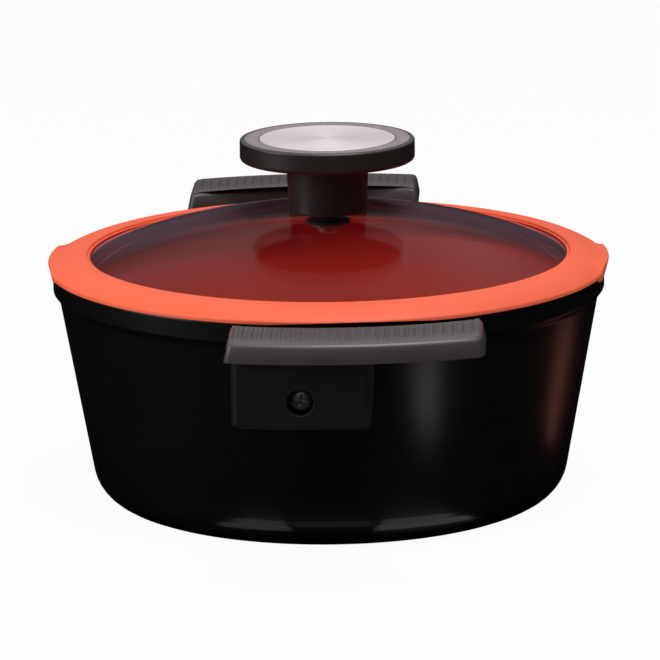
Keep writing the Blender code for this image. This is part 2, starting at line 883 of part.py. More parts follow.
main()
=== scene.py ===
# %% [markdown]
# # A casserole pot with its lid on
# The real object is a low cast aluminium pot, black outside and orange-red inside, with a handle on each
# side that stands off to one end. Its lid is a glass dome in a wide silicone ring, with a mushroom knob
# that is screwed through the glass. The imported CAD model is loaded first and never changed. Each visible
# piece is made around it, in metres, +Z up, with the origin in the middle of the base. The front handle is
# at -Y.

# %% Load the frame
import json
import math
from functools import partial

import bmesh
import bpy
from mathutils import Matrix, Vector


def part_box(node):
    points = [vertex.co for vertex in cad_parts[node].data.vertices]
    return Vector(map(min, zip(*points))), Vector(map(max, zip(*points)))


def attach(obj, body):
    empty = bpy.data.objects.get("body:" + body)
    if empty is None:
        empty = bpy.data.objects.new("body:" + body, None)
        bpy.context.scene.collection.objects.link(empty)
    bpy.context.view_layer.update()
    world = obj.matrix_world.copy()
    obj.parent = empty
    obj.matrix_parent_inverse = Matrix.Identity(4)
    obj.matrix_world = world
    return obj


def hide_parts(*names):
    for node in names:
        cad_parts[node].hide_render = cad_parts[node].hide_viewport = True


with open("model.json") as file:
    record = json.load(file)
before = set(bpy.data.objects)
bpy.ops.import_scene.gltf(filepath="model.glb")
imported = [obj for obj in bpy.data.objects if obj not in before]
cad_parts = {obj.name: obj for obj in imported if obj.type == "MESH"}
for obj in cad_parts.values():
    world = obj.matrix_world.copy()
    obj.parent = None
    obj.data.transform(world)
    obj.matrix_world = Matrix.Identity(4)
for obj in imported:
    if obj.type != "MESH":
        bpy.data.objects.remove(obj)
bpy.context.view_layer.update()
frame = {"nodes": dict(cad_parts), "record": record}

millimetre = 0.001


def in_mm(length, digits=1):
    """A length in millimetres, rounded for printing."""
    return round(length / millimetre, digits)


# %% [markdown]
# ## The camera
# A product photograph of this kind is taken from far away with a long lens, so that the circles stay calm.
# The distance, tilt and turn below were fitted to the ellipses of the rim, the ring, the knob and the base.
# The picture is a little rolled, so the roll is kept too. The camera stands slightly right of the handle's
# own middle, which shows the thickness of the grip's right end.

# %% Camera
camera_lens = 294.545
camera_distance = 2.3596
camera_azimuth = math.radians(2.3)
camera_pitch = math.radians(12.866)
camera_roll = math.radians(-0.645)
camera_target = Vector((0.0003, 0.0, 0.0729))


def aimed_camera():
    """Adds the camera on a turned, tilted and rolled frame about its target."""
    level = Matrix.Rotation(camera_azimuth, 3, "Z")
    tilt = Matrix.Rotation(math.pi / 2 - camera_pitch, 3, "X")
    roll = Matrix.Rotation(camera_roll, 3, "Z")
    turned_frame = level @ tilt @ roll
    data = bpy.data.cameras.new("photo_camera")
    data.lens = camera_lens
    data.clip_start = 0.05
    data.clip_end = 60.0
    camera = bpy.data.objects.new("photo_camera", data)
    back = turned_frame.col[2]
    camera.matrix_world = Matrix.Translation(camera_target + camera_distance * back) @ turned_frame.to_4x4()
    bpy.context.scene.collection.objects.link(camera)
    return camera


bpy.context.scene.camera = aimed_camera()
print("camera at", [round(c, 3) for c in bpy.context.scene.camera.matrix_world.translation])

# %% [markdown]
# ## Colours and nodes
# Colours are written as they are read from a screen, in sRGB hex, and Blender calculates in linear light. One
# function turns the one into the other. Two more add a node of any kind and feed its inputs, where an input
# takes a value, an output, or a node, whose first output is then meant.

# %% Colour and node helpers
def linear(text):
    """A linear colour with alpha from sRGB hex such as #FF785A."""
    channels = []
    for i in (1, 3, 5):
        c = int(text[i:i + 2], 16) / 255
        channels.append(c / 12.92 if c <= 0.04045 else ((c + 0.055) / 1.055) ** 2.4)
    return (*channels, 1.0)


def feed(node, inputs):
    """Fills inputs of a node with values, with outputs, or with the first outputs of other nodes."""
    for name, value in inputs.items():
        if isinstance(value, bpy.types.Node):
            value = value.outputs[0]
        if isinstance(value, bpy.types.NodeSocket):
            node.id_data.links.new(value, node.inputs[name])
        else:
            node.inputs[name].default_value = value


def add(tree, kind, inputs=None, **settings):
    """Adds one node with its settings and its inputs."""
    made = tree.nodes.new(kind)
    for name, value in settings.items():
        setattr(made, name, value)
    feed(made, inputs or {})
    return made


print("pot black in linear light:", [round(c, 4) for c in linear("#0A0A0B")[:3]])

# %% [markdown]
# ## How a finish is put together
# Every finish here is a Principled shader fed by the same few things: a colour that drifts a little over
# the piece, a roughness that drifts with it, and a bump of the surface's own grain. The drift is
# centimetres wide and the grain is under a millimetre. Both are three-dimensional noise on Object
# coordinates, so they stay on the piece when the lid is lifted. Each size is given in millimetres and
# turned into a noise scale.

# %% Finish helper
def shaded(name, **constants):
    """A new material with its tree and its shader; constants are inputs of the shader."""
    made = bpy.data.materials.new(name)
    made.use_nodes = True
    shader = made.node_tree.nodes["Principled BSDF"]
    feed(shader, {socket.replace("_", " "): value for socket, value in constants.items()})
    return made, made.node_tree, shader


def finish(name, dark, light, rough, grain_mm, grain_depth_mm, drift_mm=30.0, **constants):
    """A material whose colour and roughness drift and whose grain is a bump; constants go on the shader."""
    made, tree, shader = shaded(name, **constants)
    place = add(tree, "ShaderNodeTexCoord").outputs["Object"]

    def noise(width_mm, detail):
        inputs = {"Vector": place, "Scale": 1 / (width_mm * millimetre), "Detail": detail}
        return add(tree, "ShaderNodeTexNoise", inputs)

    drift, grain = noise(drift_mm, detail=3.0), noise(grain_mm, detail=2.0)
    tone = add(tree, "ShaderNodeMix", {0: drift, 6: linear(dark), 7: linear(light)}, data_type="RGBA")
    gloss = add(tree, "ShaderNodeMapRange", {"Value": drift, "To Min": rough[0], "To Max": rough[1]})
    bump = add(tree, "ShaderNodeBump", {"Height": grain, "Distance": grain_depth_mm * millimetre})
    feed(shader, {"Base Color": tone.outputs[2], "Roughness": gloss, "Normal": bump})
    return made


print("a 0.6 mm grain has a noise scale of", round(1 / (0.6 * millimetre)))

# %% [markdown]
# ## The finishes of the pot
# Outside, cast aluminium is grit blasted and sprayed with a black silicone-based enamel, then baked. It is
# smooth and deep black, with a faint orange peel that breaks up a lamp's reflection. Inside, an orange-red
# sol-gel ceramic is sprayed on: a hard, satin coat. Both are non-metals in spite of the metal under them.

# %% Enamel and ceramic
black_enamel = finish("sprayed_black_enamel", "#080809", "#0D0C0D", (0.25, 0.31), 1.2, 0.004, IOR=1.5)
red_ceramic = finish(
    "red_sol_gel_ceramic", "#D23018", "#DC381C", (0.38, 0.46), 0.9, 0.003, Specular_IOR_Level=0.25
)
print("pot finishes:", black_enamel.name, red_ceramic.name)

# %% [markdown]
# ## The finishes of the lid
# The ring is platinum-cured silicone rubber, moulded against a lightly blasted steel tool, so it is matt
# with a soft bloom. The knob and grips are glass-filled nylon with a soft-touch skin. The fine ribs on the
# knob's top get a lighter grey: a painted sheen for the light that the black top catches at a grazing view.
# The arms are phenolic, a hard black moulding powder with a slight shine of its own.

# %% Silicone and mouldings
orange_silicone = finish(
    "moulded_orange_silicone", "#F7633F", "#FC6942", (0.50, 0.58), 0.6, 0.004, IOR=1.43
)
soft_touch_grip = finish(
    "soft_touch_nylon_grip", "#3D3738", "#433C3D", (0.34, 0.40), 0.5, 0.006, Specular_IOR_Level=0.5
)
matt_black_knob = finish(
    "soft_touch_nylon_knob", "#211A1A", "#271F1F", (0.36, 0.44), 0.5, 0.006, Specular_IOR_Level=0.5
)
# Painted sheen: the knob's ribbed band is written light grey for the light its black top catches at a grazing
# view.
knob_rib_painted_sheen = finish(
    "knob_ribs_painted_sheen", "#867C80", "#8E8488", (0.50, 0.58), 0.4, 0.010, Specular_IOR_Level=0.35
)
black_phenolic = finish(
    "black_phenolic_moulding", "#151312", "#1A1817", (0.34, 0.42), 0.8, 0.004, Specular_IOR_Level=0.4
)
grey_silicone = finish("moulded_grey_silicone", "#2E2B2A", "#353231", (0.55, 0.65), 0.7, 0.004, IOR=1.43)
print("mouldings:", orange_silicone.name, soft_touch_grip.name, matt_black_knob.name, black_phenolic.name)

# %% [markdown]
# ## The metals
# The screws are steel, zinc plated and passivated black. Their heads sit deep in dark recesses and have
# little to mirror, so the plating is written lighter than it looks there. The insert is turned brass. The
# knob's disc is stainless steel that was brushed while it turned, so its scratches are circles. Such
# scratches spread a reflection across them, which gives the faint bright wedges of a turned disc.

# %% Screw steel, brass and brushed steel
black_zinc = finish("black_zinc_plated_steel", "#9A9A9E", "#A6A6AA", (0.36, 0.44), 0.4, 0.004, Metallic=1.0)
# Painted shade: the walls of the screws' cross slots take this near-black, for the shade inside the cross.
slot_painted_shade = finish("slot_painted_shade_steel", "#0A0A0B", "#101011", (0.60, 0.70), 0.3, 0.002, Specular_IOR_Level=0.2)
brass = finish("turned_brass", "#B98F45", "#C79C50", (0.28, 0.38), 0.5, 0.003, Metallic=1.0)
plain_stainless = finish(
    "turned_stainless_steel", "#AFAAA8", "#B9B4B2", (0.30, 0.38), 0.5, 0.003, Metallic=1.0
)
brush_line_mm = 0.5


def brushed_disc_steel():
    """Stainless steel brushed in circles about Z: its lines are a noise of the distance from the axis."""
    made = finish("brushed_stainless_disc", "#D0C6C8", "#DAD0D2", (0.50, 0.58), 0.5, 0.0, Metallic=1.0)
    tree = made.node_tree
    place = add(tree, "ShaderNodeTexCoord").outputs["Object"]
    flat = add(tree, "ShaderNodeVectorMath", {0: place, 1: (1.0, 1.0, 0.0)}, operation="MULTIPLY")
    length = add(tree, "ShaderNodeVectorMath", {0: flat}, operation="LENGTH")
    # Real brush lines are under 0.1 mm apart. These are wider, and as fine as the view shows.
    lines = add(tree, "ShaderNodeTexNoise", {
        "W": length.outputs["Value"], "Scale": 1 / (brush_line_mm * millimetre),
    }, noise_dimensions="1D")
    bump = add(tree, "ShaderNodeBump", {"Height": lines, "Distance": 0.004 * millimetre})
    tangent = add(tree, "ShaderNodeTangent", direction_type="RADIAL", axis="Z")
    feed(tree.nodes["Principled BSDF"], {
        "Anisotropic": 0.2, "Anisotropic Rotation": 0.25, "Normal": bump, "Tangent": tangent,
    })
    return made


brushed_steel = brushed_disc_steel()
print("metals:", black_zinc.name, brass.name, plain_stainless.name, brushed_steel.name)

# %% [markdown]
# ## The glass
# The dome is 4 mm soda-lime glass, tempered. A real refracting glass would keep most light out of the pot
# and leave the inside noisy. A thin coat of glass is enough here: the shader is mostly see-through by its
# alpha, and what is left is the dark tint of the glass and the mirror image in its two faces. The far side
# of the dome is seen at a grazing angle and looks dark and bluish. There the alpha rises steeply and the
# colour goes over to a dull violet grey: a painted reflection of the dark surroundings in the glass.

# %% Glass
glass_alpha = 0.13
edge_alpha = 0.96
edge_start = 0.72
edge_full = 0.88
# The colour the glass turns to at grazing angles: a painted reflection of dark surroundings.
grazing_reflection_tint = "#6C5A66"


def coated_glass():
    """Glass whose alpha rises from its least value to nearly one at a grazing angle, where its colour turns
    to a painted reflection.
    """
    made = finish(
        "clear_tempered_glass", "#241A1C", "#281D20", (0.07, 0.10), 8.0, 0.001, drift_mm=60.0, IOR=1.5,
        Specular_IOR_Level=0.4,
    )
    tree = made.node_tree
    shader = tree.nodes["Principled BSDF"]
    plain = shader.inputs["Base Color"].links[0].from_socket
    facing = add(tree, "ShaderNodeLayerWeight", {"Blend": 0.5}).outputs["Facing"]
    band = {"Value": facing, "From Min": edge_start, "From Max": edge_full}
    levels = {"To Min": glass_alpha, "To Max": edge_alpha}
    alpha = add(tree, "ShaderNodeMapRange", {**band, **levels}, interpolation_type="SMOOTHSTEP")
    painted_reflection_share = add(tree, "ShaderNodeMapRange", band)
    # Painted reflection: towards grazing angles the colour mixes over to the violet grey.
    tint = add(tree, "ShaderNodeMix", {0: painted_reflection_share, 6: plain, 7: linear(grazing_reflection_tint)}, data_type="RGBA")
    feed(shader, {"Base Color": tint.outputs[2], "Alpha": alpha})
    return made


tempered_glass = coated_glass()
print("the glass lets through", 1 - glass_alpha, "at each face, seen square on")

# %% [markdown]
# ## Sections
# Most of this object was turned or moulded round one axis, so it is described by sections: points of radius
# and height, in order. A corner carries the radius it is rounded to. It may also carry how far it dips and
# how far it tucks in at the pouring lips, and whether it takes the piece's second finish, such as the pot's
# inside. Rounding keeps to the same few degrees a step everywhere, and each long stretch away from the axis
# gets a point close to either end, which keeps the shading of the flat parts flat.

# %% Section helpers
degrees_a_step = 9.0
side_share = 0.45
support_distance = 0.00025
long_stretch = 0.0015
smooth_angle = math.radians(35.0)


def point(r, z, round=0.0, dip=0.0, tuck=0.0, inside=0.0):
    """One corner of a section."""
    return {"at": Vector((r, z)), "round": round, "extra": Vector((dip, tuck, inside))}


def arc(centre, radius, start, end, **extra):
    """Corners along an arc, a few degrees apart, from one angle to another in degrees."""
    steps = max(2, math.ceil(abs(end - start) / degrees_a_step))
    found = []
    for i in range(steps + 1):
        angle = math.radians(start + (end - start) * i / steps)
        r, z = centre[0] + radius * math.cos(angle), centre[1] + radius * math.sin(angle)
        found.append(point(r, z, **extra))
    return found


def rounded(points, closed):
    """The section with each corner replaced by an arc of its own radius."""
    found = []
    for i, here in enumerate(points):
        ends = not closed and i in (0, len(points) - 1)
        if ends or here["round"] == 0.0:
            found.append(here)
            continue
        before = points[i - 1]["at"] - here["at"]
        after = points[(i + 1) % len(points)]["at"] - here["at"]
        opening = before.angle(after)
        most = side_share * min(before.length, after.length)
        reach = min(here["round"] / math.tan(opening / 2), most)
        radius = reach * math.tan(opening / 2)
        middle = (before.normalized() + after.normalized()).normalized()
        centre = here["at"] + middle * (radius / math.sin(opening / 2))
        first = here["at"] + before.normalized() * reach - centre
        last = here["at"] + after.normalized() * reach - centre
        steps = max(2, math.ceil(math.degrees(math.pi - opening) / degrees_a_step))
        for j in range(steps + 1):
            way = first.slerp(last, j / steps).normalized() * radius
            found.append({"at": centre + way, "round": 0.0, "extra": here["extra"]})
    return found


def supported(points, closed):
    """The section with a point close to either end of each long stretch."""
    found = []
    for i, here in enumerate(points):
        found.append(here)
        if i == len(points) - 1 and not closed:
            break
        there = points[(i + 1) % len(points)]
        length = (there["at"] - here["at"]).length
        if length > long_stretch and min(here["at"].x, there["at"].x) > 0.0:
            for share in (support_distance / length, 1 - support_distance / length):
                spot = {"round": 0.0}
                for key in ("at", "extra"):
                    spot[key] = here[key].lerp(there[key], share)
                found.append(spot)
    if closed:
        found.append(points[0])
    return found


print("a quarter round takes", math.ceil(90 / degrees_a_step), "steps")

# %% [markdown]
# ## The turning tree
# Turning is a rule, so Geometry Nodes do it. A grid has one column for each step round the axis and one row
# for each point of the section. Each grid point looks up its section point by its row and is put at the
# angle of its column. Near the X axis, where the pot pours, the rim dips by a smooth share of the dip that
# the section carries. The seam and the poles are then merged.

# %% Turning tree
def group(name, **inputs):
    """An empty Geometry Nodes tree with named inputs, what they give, and its end node."""
    tree = bpy.data.node_groups.new(name, "GeometryNodeTree")
    for label, kind in inputs.items():
        label = label.replace("_", " ")
        tree.interface.new_socket(label, in_out="INPUT", socket_type="NodeSocket" + kind)
    tree.interface.new_socket("Geometry", in_out="OUTPUT", socket_type="NodeSocketGeometry")
    return tree, tree.nodes.new("NodeGroupInput").outputs, tree.nodes.new("NodeGroupOutput")


def math_node(tree, operation, first, second=0.0):
    """One sum, as most trees need several."""
    return add(tree, "ShaderNodeMath", {0: first, 1: second}, operation=operation)


def turning_tree():
    """Turns a section about Z."""
    tree, given, result = group(
        "turn_section", Section="Geometry", Steps="Int", Rim_Radius="Float", Lip_Half_Width="Float",
        Lip_Flat_Half_Width="Float", Merge_Distance="Float", Outer="Material", Inner="Material",
    )
    calc = partial(math_node, tree)
    rows = add(tree, "GeometryNodeAttributeDomainSize", {"Geometry": given["Section"]}).outputs["Point Count"]
    columns = calc("ADD", given["Steps"], 1.0)
    grid = add(tree, "GeometryNodeMeshGrid", {"Vertices X": columns, "Vertices Y": rows})
    index = add(tree, "GeometryNodeInputIndex")
    row = calc("MODULO", index, rows)
    column = calc("FLOOR", calc("DIVIDE", index, rows))
    angle = calc("MULTIPLY", calc("DIVIDE", column, given["Steps"]), math.tau)

    def looked_up(value, kind):
        inputs = {"Geometry": given["Section"], "Value": value, "Index": row}
        return add(tree, "GeometryNodeSampleIndex", inputs, data_type=kind).outputs["Value"]

    spot = looked_up(add(tree, "GeometryNodeInputPosition"), "FLOAT_VECTOR")
    spot = add(tree, "ShaderNodeSeparateXYZ", {0: spot})
    extras = []
    for label in ("dip", "tuck", "inside"):
        named = add(tree, "GeometryNodeInputNamedAttribute", {"Name": label}, data_type="FLOAT")
        extras.append(looked_up(named.outputs["Attribute"], "FLOAT"))
    dip, tuck, inside = extras
    sine = calc("SINE", angle)
    beside = calc("MULTIPLY", calc("ABSOLUTE", sine), given["Rim Radius"])
    share = add(tree, "ShaderNodeMapRange", {
        "Value": beside, "From Min": given["Lip Half Width"], "From Max": given["Lip Flat Half Width"],
    }, interpolation_type="SMOOTHSTEP").outputs["Result"]
    radius = calc("SUBTRACT", spot.outputs["X"], calc("MULTIPLY", tuck, share))
    height = calc("SUBTRACT", spot.outputs["Z"], calc("MULTIPLY", dip, share))
    place = add(tree, "ShaderNodeCombineXYZ", {
        "X": calc("MULTIPLY", radius, calc("COSINE", angle)),
        "Y": calc("MULTIPLY", radius, sine),
        "Z": height,
    })
    kept = add(tree, "GeometryNodeCaptureAttribute", {"Geometry": grid.outputs["Mesh"]})
    kept.capture_items.new("FLOAT", "Inside")
    feed(kept, {"Inside": inside})
    bent = add(tree, "GeometryNodeSetPosition", {
        "Geometry": kept.outputs["Geometry"], "Position": place,
    })
    merged = add(tree, "GeometryNodeMergeByDistance", {
        "Geometry": bent, "Distance": given["Merge Distance"],
    })
    real = add(tree, "GeometryNodeRealizeInstances", {"Geometry": merged})
    outer = add(tree, "GeometryNodeSetMaterial", {"Geometry": real, "Material": given["Outer"]})
    wholly = add(tree, "FunctionNodeCompare", {0: kept.outputs["Inside"], 1: 0.75}, operation="GREATER_THAN")
    inner = add(tree, "GeometryNodeSetMaterial", {
        "Geometry": outer, "Selection": wholly, "Material": given["Inner"],
    })
    feed(result, {"Geometry": inner})
    return tree


turn_section = turning_tree()
print("the turning tree has", len(turn_section.nodes), "nodes")

# %% [markdown]
# ## From a tree to a plain mesh
# The inputs of a modifier are set by the identifier of the socket, before the object is looked at for the
# first time. The evaluated result is then kept as a plain mesh, the modifier goes, and the normals are made
# to point outwards. Edges that turn sharply stay crisp and all others are shaded smooth.

# %% Mesh helpers
def linked(name, mesh):
    """A new object for a mesh, in the scene."""
    made = bpy.data.objects.new(name, mesh)
    bpy.context.scene.collection.objects.link(made)
    return made


def run_tree(obj, tree, **values):
    """Runs a Geometry Nodes tree on an object once, with its inputs by name, and keeps the plain mesh."""
    modifier = obj.modifiers.new(tree.name, "NODES")
    modifier.node_group = tree
    sockets = {item.name: item.identifier for item in tree.interface.items_tree if item.in_out == "INPUT"}
    for label, value in values.items():
        modifier[sockets[label.replace("_", " ")]] = value
    bake(obj)


def bake(obj):
    """Keeps what the modifiers make as the object's plain mesh."""
    bpy.context.view_layer.update()
    seen = obj.evaluated_get(bpy.context.evaluated_depsgraph_get())
    mesh = bpy.data.meshes.new_from_object(seen)
    old = obj.data
    obj.modifiers.clear()
    obj.data = mesh
    bpy.data.meshes.remove(old)
    mesh.name = obj.name


def smooth(obj):
    """Points the faces outwards and shades all but sharp edges smooth."""
    bm = bmesh.new()
    bm.from_mesh(obj.data)
    bmesh.ops.recalc_face_normals(bm, faces=bm.faces)
    if bm.calc_volume(signed=True) < 0:
        bmesh.ops.reverse_faces(bm, faces=bm.faces)
    open_edges = sum(1 for edge in bm.edges if not edge.is_manifold)
    bm.to_mesh(obj.data)
    bm.free()
    obj.data.shade_smooth()
    obj.data.set_sharp_from_angle(angle=smooth_angle)
    print(f"{obj.name}: {len(obj.data.polygons)} faces, {open_edges} open edges")


lip_half_width = 0.0300
lip_flat_half_width = 0.0210
rim_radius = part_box("pot_body")[1].x
merge_distance = 0.000002
turning_steps = 256


def turned(name, points, closed, outer, inner=None, steps=turning_steps):
    """An object turned from a section of corners."""
    line = supported(rounded(points, closed), closed)
    mesh = bpy.data.meshes.new(name + "_section")
    edges = [(i, i + 1) for i in range(len(line) - 1)]
    mesh.from_pydata([(spot["at"].x, 0.0, spot["at"].y) for spot in line], edges, [])
    for i, label in enumerate(("dip", "tuck", "inside")):
        layer = mesh.attributes.new(label, "FLOAT", "POINT")
        layer.data.foreach_set("value", [spot["extra"][i] for spot in line])
    made = linked(name, mesh)
    run_tree(
        made, turn_section, Steps=steps, Rim_Radius=rim_radius, Lip_Half_Width=lip_half_width,
        Lip_Flat_Half_Width=lip_flat_half_width, Merge_Distance=merge_distance, Outer=outer,
        Inner=inner or outer,
    )
    smooth(made)
    return made


print("rim radius in mm:", in_mm(rim_radius, 2))

# %% [markdown]
# ## The pot
# The shell is cast in one piece: a flat base ring, a round corner, a wall that leans out, and at the top a
# thicker band that steps out over the wall. On each side the rim dips into a pouring lip. The section goes
# from the middle of the base, out and up, over the rim, and down inside to the middle of the floor. The
# wall's lean follows from the two circles that it joins.

# %% Pot section
pot_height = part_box("pot_body")[1].z
neck_radius = rim_radius - 0.0026
band_bottom = pot_height - 0.0084
neck_height = band_bottom - 0.0033
mouth_radius = rim_radius - 0.0044
mouth_seat = pot_height - 0.0070
wall_thickness = 0.0040
floor_height = 0.0050
base_radius = 0.0872
base_corner = 0.0168
inner_corner = 0.0130
dish_radius = 0.0640
dish_depth = 0.0006
dish_slope = 0.0015
mouth_slope = 0.0030
lip_drop = 0.0038


def wall_lean():
    """How far below the horizontal the wall faces, in degrees, negative as it leans out."""
    across = neck_radius - base_radius
    up = neck_height - base_corner
    return math.degrees(math.atan2(up, across) - math.acos(base_corner / math.hypot(across, up)))


def wall_radius(z):
    """Outer radius of the wall at a height."""
    return neck_radius + (neck_height - z) * math.tan(math.radians(wall_lean()))


def pot_section():
    """Corners of the pot, from the middle of its base round to the middle of its floor."""
    lean = wall_lean()
    inward = wall_thickness / math.cos(math.radians(lean))
    corner_z = floor_height + inner_corner
    corner_r = wall_radius(corner_z) - inward - inner_corner / math.cos(math.radians(lean))
    wall_start = mouth_seat - mouth_slope
    points = [
        point(0.0, dish_depth),
        point(dish_radius - dish_slope, dish_depth, round=0.0006),
        point(dish_radius, 0.0, round=0.0004),
    ]
    points += arc((base_radius, base_corner), base_corner, -90.0, lean)
    points += [
        point(neck_radius, neck_height, round=0.0012),
        point(rim_radius, band_bottom, round=0.0007),
        point(rim_radius, pot_height, round=0.0008, dip=lip_drop),
        point(mouth_radius, pot_height, round=0.0008, dip=lip_drop, inside=1.0),
        point(mouth_radius, mouth_seat, round=0.0010, inside=1.0),
        point(wall_radius(wall_start) - inward, wall_start, round=0.0010, inside=1.0),
    ]
    points += arc((corner_r, corner_z), inner_corner, lean, -90.0, inside=1.0)
    points.append(point(0.0, floor_height, inside=1.0))
    return points


pot_shell = turned("pot_shell", pot_section(), False, black_enamel, red_ceramic)
print("the wall leans out by", round(-wall_lean(), 2), "degrees")

# %% [markdown]
# ## The lugs
# Each handle is screwed to a lug that is cast with the pot. Almost nothing of it shows, but a pot without
# it would have its screw hold on to air. It is a small block from inside the wall out to the screw's end,
# with its outer edges rounded and a hole for the screw, and it is joined to the shell by an exact Boolean.

# %% Lugs
arm_low, arm_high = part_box("front_handle_arm")
arm_middle = (arm_low.x + arm_high.x) / 2
screw_low, screw_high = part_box("front_handle_screw")
screw_height = (screw_low.z + screw_high.z) / 2
lug_width = 0.0200
lug_height = 0.0140
lug_reach = neck_radius + 0.0206
lug_edge = 0.0010
lug_hole_radius = 0.0023
lug_hole_depth = 0.0150
hole_steps = 32
half_turn = Matrix.Rotation(math.pi, 4, "Z")
z_to_front = Matrix.Rotation(math.pi / 2, 4, "X")


def round_edges(bm, edges, radius, steps):
    """Rounds edges of a mesh in the making, and clears the slivers left where roundings meet."""
    bmesh.ops.bevel(bm, geom=edges, offset=radius, segments=steps, affect="EDGES", profile=0.5)
    bmesh.ops.remove_doubles(bm, verts=bm.verts, dist=merge_distance)
    bmesh.ops.dissolve_degenerate(bm, edges=bm.edges, dist=merge_distance)


def as_object(name, bm, material):
    """An object from a mesh in the making, its normals outwards."""
    bmesh.ops.recalc_face_normals(bm, faces=bm.faces)
    mesh = bpy.data.meshes.new(name)
    bm.to_mesh(mesh)
    bm.free()
    mesh.materials.append(material)
    return linked(name, mesh)


def combine(obj, tools, operation):
    """Unites an object with helper shapes, or cuts them out of it, and removes the helpers."""
    for tool in tools:
        modifier = obj.modifiers.new(tool.name, "BOOLEAN")
        modifier.operation = operation
        modifier.solver = "EXACT"
        modifier.object = tool
    bake(obj)
    for tool in tools:
        bpy.data.objects.remove(tool)


def bridged(rings):
    """A mesh in the making with faces between rings of points, and the loops of its points."""
    bm = bmesh.new()
    loops = [[bm.verts.new(spot) for spot in ring] for ring in rings]
    count = len(loops[0])
    for lower, upper in zip(loops[:-1], loops[1:]):
        for i in range(count):
            j = (i + 1) % count
            bm.faces.new((lower[i], lower[j], upper[j], upper[i]))
    return bm, loops


def lofted(rings):
    """A closed solid through rings of points."""
    bm, loops = bridged(rings)
    bm.faces.new(loops[0][::-1])
    bm.faces.new(loops[-1])
    return bm


def lug(turn):
    """One lug, from the middle of the wall's thickness to its flat end."""
    ring = []
    for side, level in ((-1, -1), (1, -1), (1, 1), (-1, 1)):
        x = arm_middle + side * lug_width / 2
        z = screw_height + level * lug_height / 2
        ring.append((x, -math.sqrt((wall_radius(z) - wall_thickness / 2) ** 2 - x * x), z))
    bm = lofted([ring, [(x, -lug_reach, z) for x, y, z in ring]])
    round_edges(bm, [e for e in bm.edges if all(v.co.y == -lug_reach for v in e.verts)], lug_edge, 4)
    bm.transform(turn)
    return as_object("lug", bm, black_enamel)


def screw_hole(turn):
    """The hole for the screw in the end of a lug."""
    bm = bmesh.new()
    bmesh.ops.create_cone(
        bm, cap_ends=True, segments=hole_steps, radius1=lug_hole_radius, radius2=lug_hole_radius,
        depth=2 * lug_hole_depth,
    )
    bm.transform(turn @ Matrix.Translation((arm_middle, -lug_reach, screw_height)) @ z_to_front)
    return as_object("screw_hole", bm, black_enamel)


combine(pot_shell, [lug(Matrix()), lug(half_turn)], "UNION")
combine(pot_shell, [screw_hole(Matrix()), screw_hole(half_turn)], "DIFFERENCE")
smooth(pot_shell)

# %% [markdown]
# ## The glass dome
# Tempered lids are pressed to a shallow sphere with a hole in the top for the knob's screw. The section is
# two arcs about one centre, 4 mm apart, and its edge is swallowed by the ring.

# %% Glass dome
glass_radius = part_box("lid_glass")[1].x
glass_thickness = 0.0040
glass_rise = 0.0247
glass_dome = glass_rise - 0.0035
glass_hole = 0.0041
sphere_radius = (glass_radius ** 2 + glass_dome ** 2) / (2 * glass_dome)
glass_steps = 28


def glass_height(r, depth=0.0):
    """Height of the dome at a radius, or of a point that lies below its upper face by a depth."""
    below = sphere_radius - depth
    return pot_height + glass_rise - sphere_radius + math.sqrt(below ** 2 - r ** 2)


def glass_section():
    """Corners of the glass: its upper face outwards, then its lower face inwards."""
    radii = [glass_hole + (glass_radius - glass_hole) * i / glass_steps for i in range(glass_steps + 1)]
    upper = [point(r, glass_height(r)) for r in radii]
    lower = [point(r, glass_height(r, glass_thickness)) for r in reversed(radii)]
    return upper + lower


glass_dome_piece = turned("glass_dome", glass_section(), True, tempered_glass)
print("radius of the glass's sphere in mm:", in_mm(sphere_radius))

# %% [markdown]
# ## The silicone ring
# The ring is the lid's seal and its colour. It is moulded round the glass: a crowned top, a thin edge that
# rests on the rim, a skirt that hangs in the mouth, and a groove that holds the glass between two thin
# lips. Over each pouring lip its edge hangs lower and its top rises a little, so those corners carry a dip.

# %% Ring section
ring_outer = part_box("lid_ring")[1].x
ring_inner = ring_outer - 0.0171
seat_gap = 0.0003
ring_crown = 0.0016
skirt_radius = mouth_radius - 0.0005
lip_lift = 0.0023
lip_tuck = 0.0017
crown_steps = 14
crown_start = pot_height + 0.0068
ring_edge_thickness = 0.0015
ring_edge_rounding = 0.0011
glass_lip_reach = 0.0011
glass_lip_thickness = 0.0018
lip_step = 0.0004
lip_edge = 0.0006
skirt_taper = 0.0003
skirt_thickness = 0.0024
skirt_length = 0.0050


def crown(first, last, bulge):
    """Corners on an arc between two points that bulges upwards, with the lift that the lips give them."""
    span = Vector(last) - Vector(first)
    half = span.length / 2
    radius = (half ** 2 + bulge ** 2) / (2 * bulge)
    normal = Vector((-span.y, span.x)).normalized()
    centre = (Vector(first) + Vector(last)) / 2 - normal * (radius - bulge)
    found = []
    for i in range(crown_steps + 1):
        way = (Vector(first) - centre).slerp(Vector(last) - centre, i / crown_steps)
        spot = centre + way.normalized() * radius
        along = max(0.0, (spot.x - skirt_radius) / (ring_outer - skirt_radius))
        found.append(point(spot.x, spot.y, dip=-lip_lift * along ** 2))
    found[-1]["round"] = ring_edge_rounding
    return found


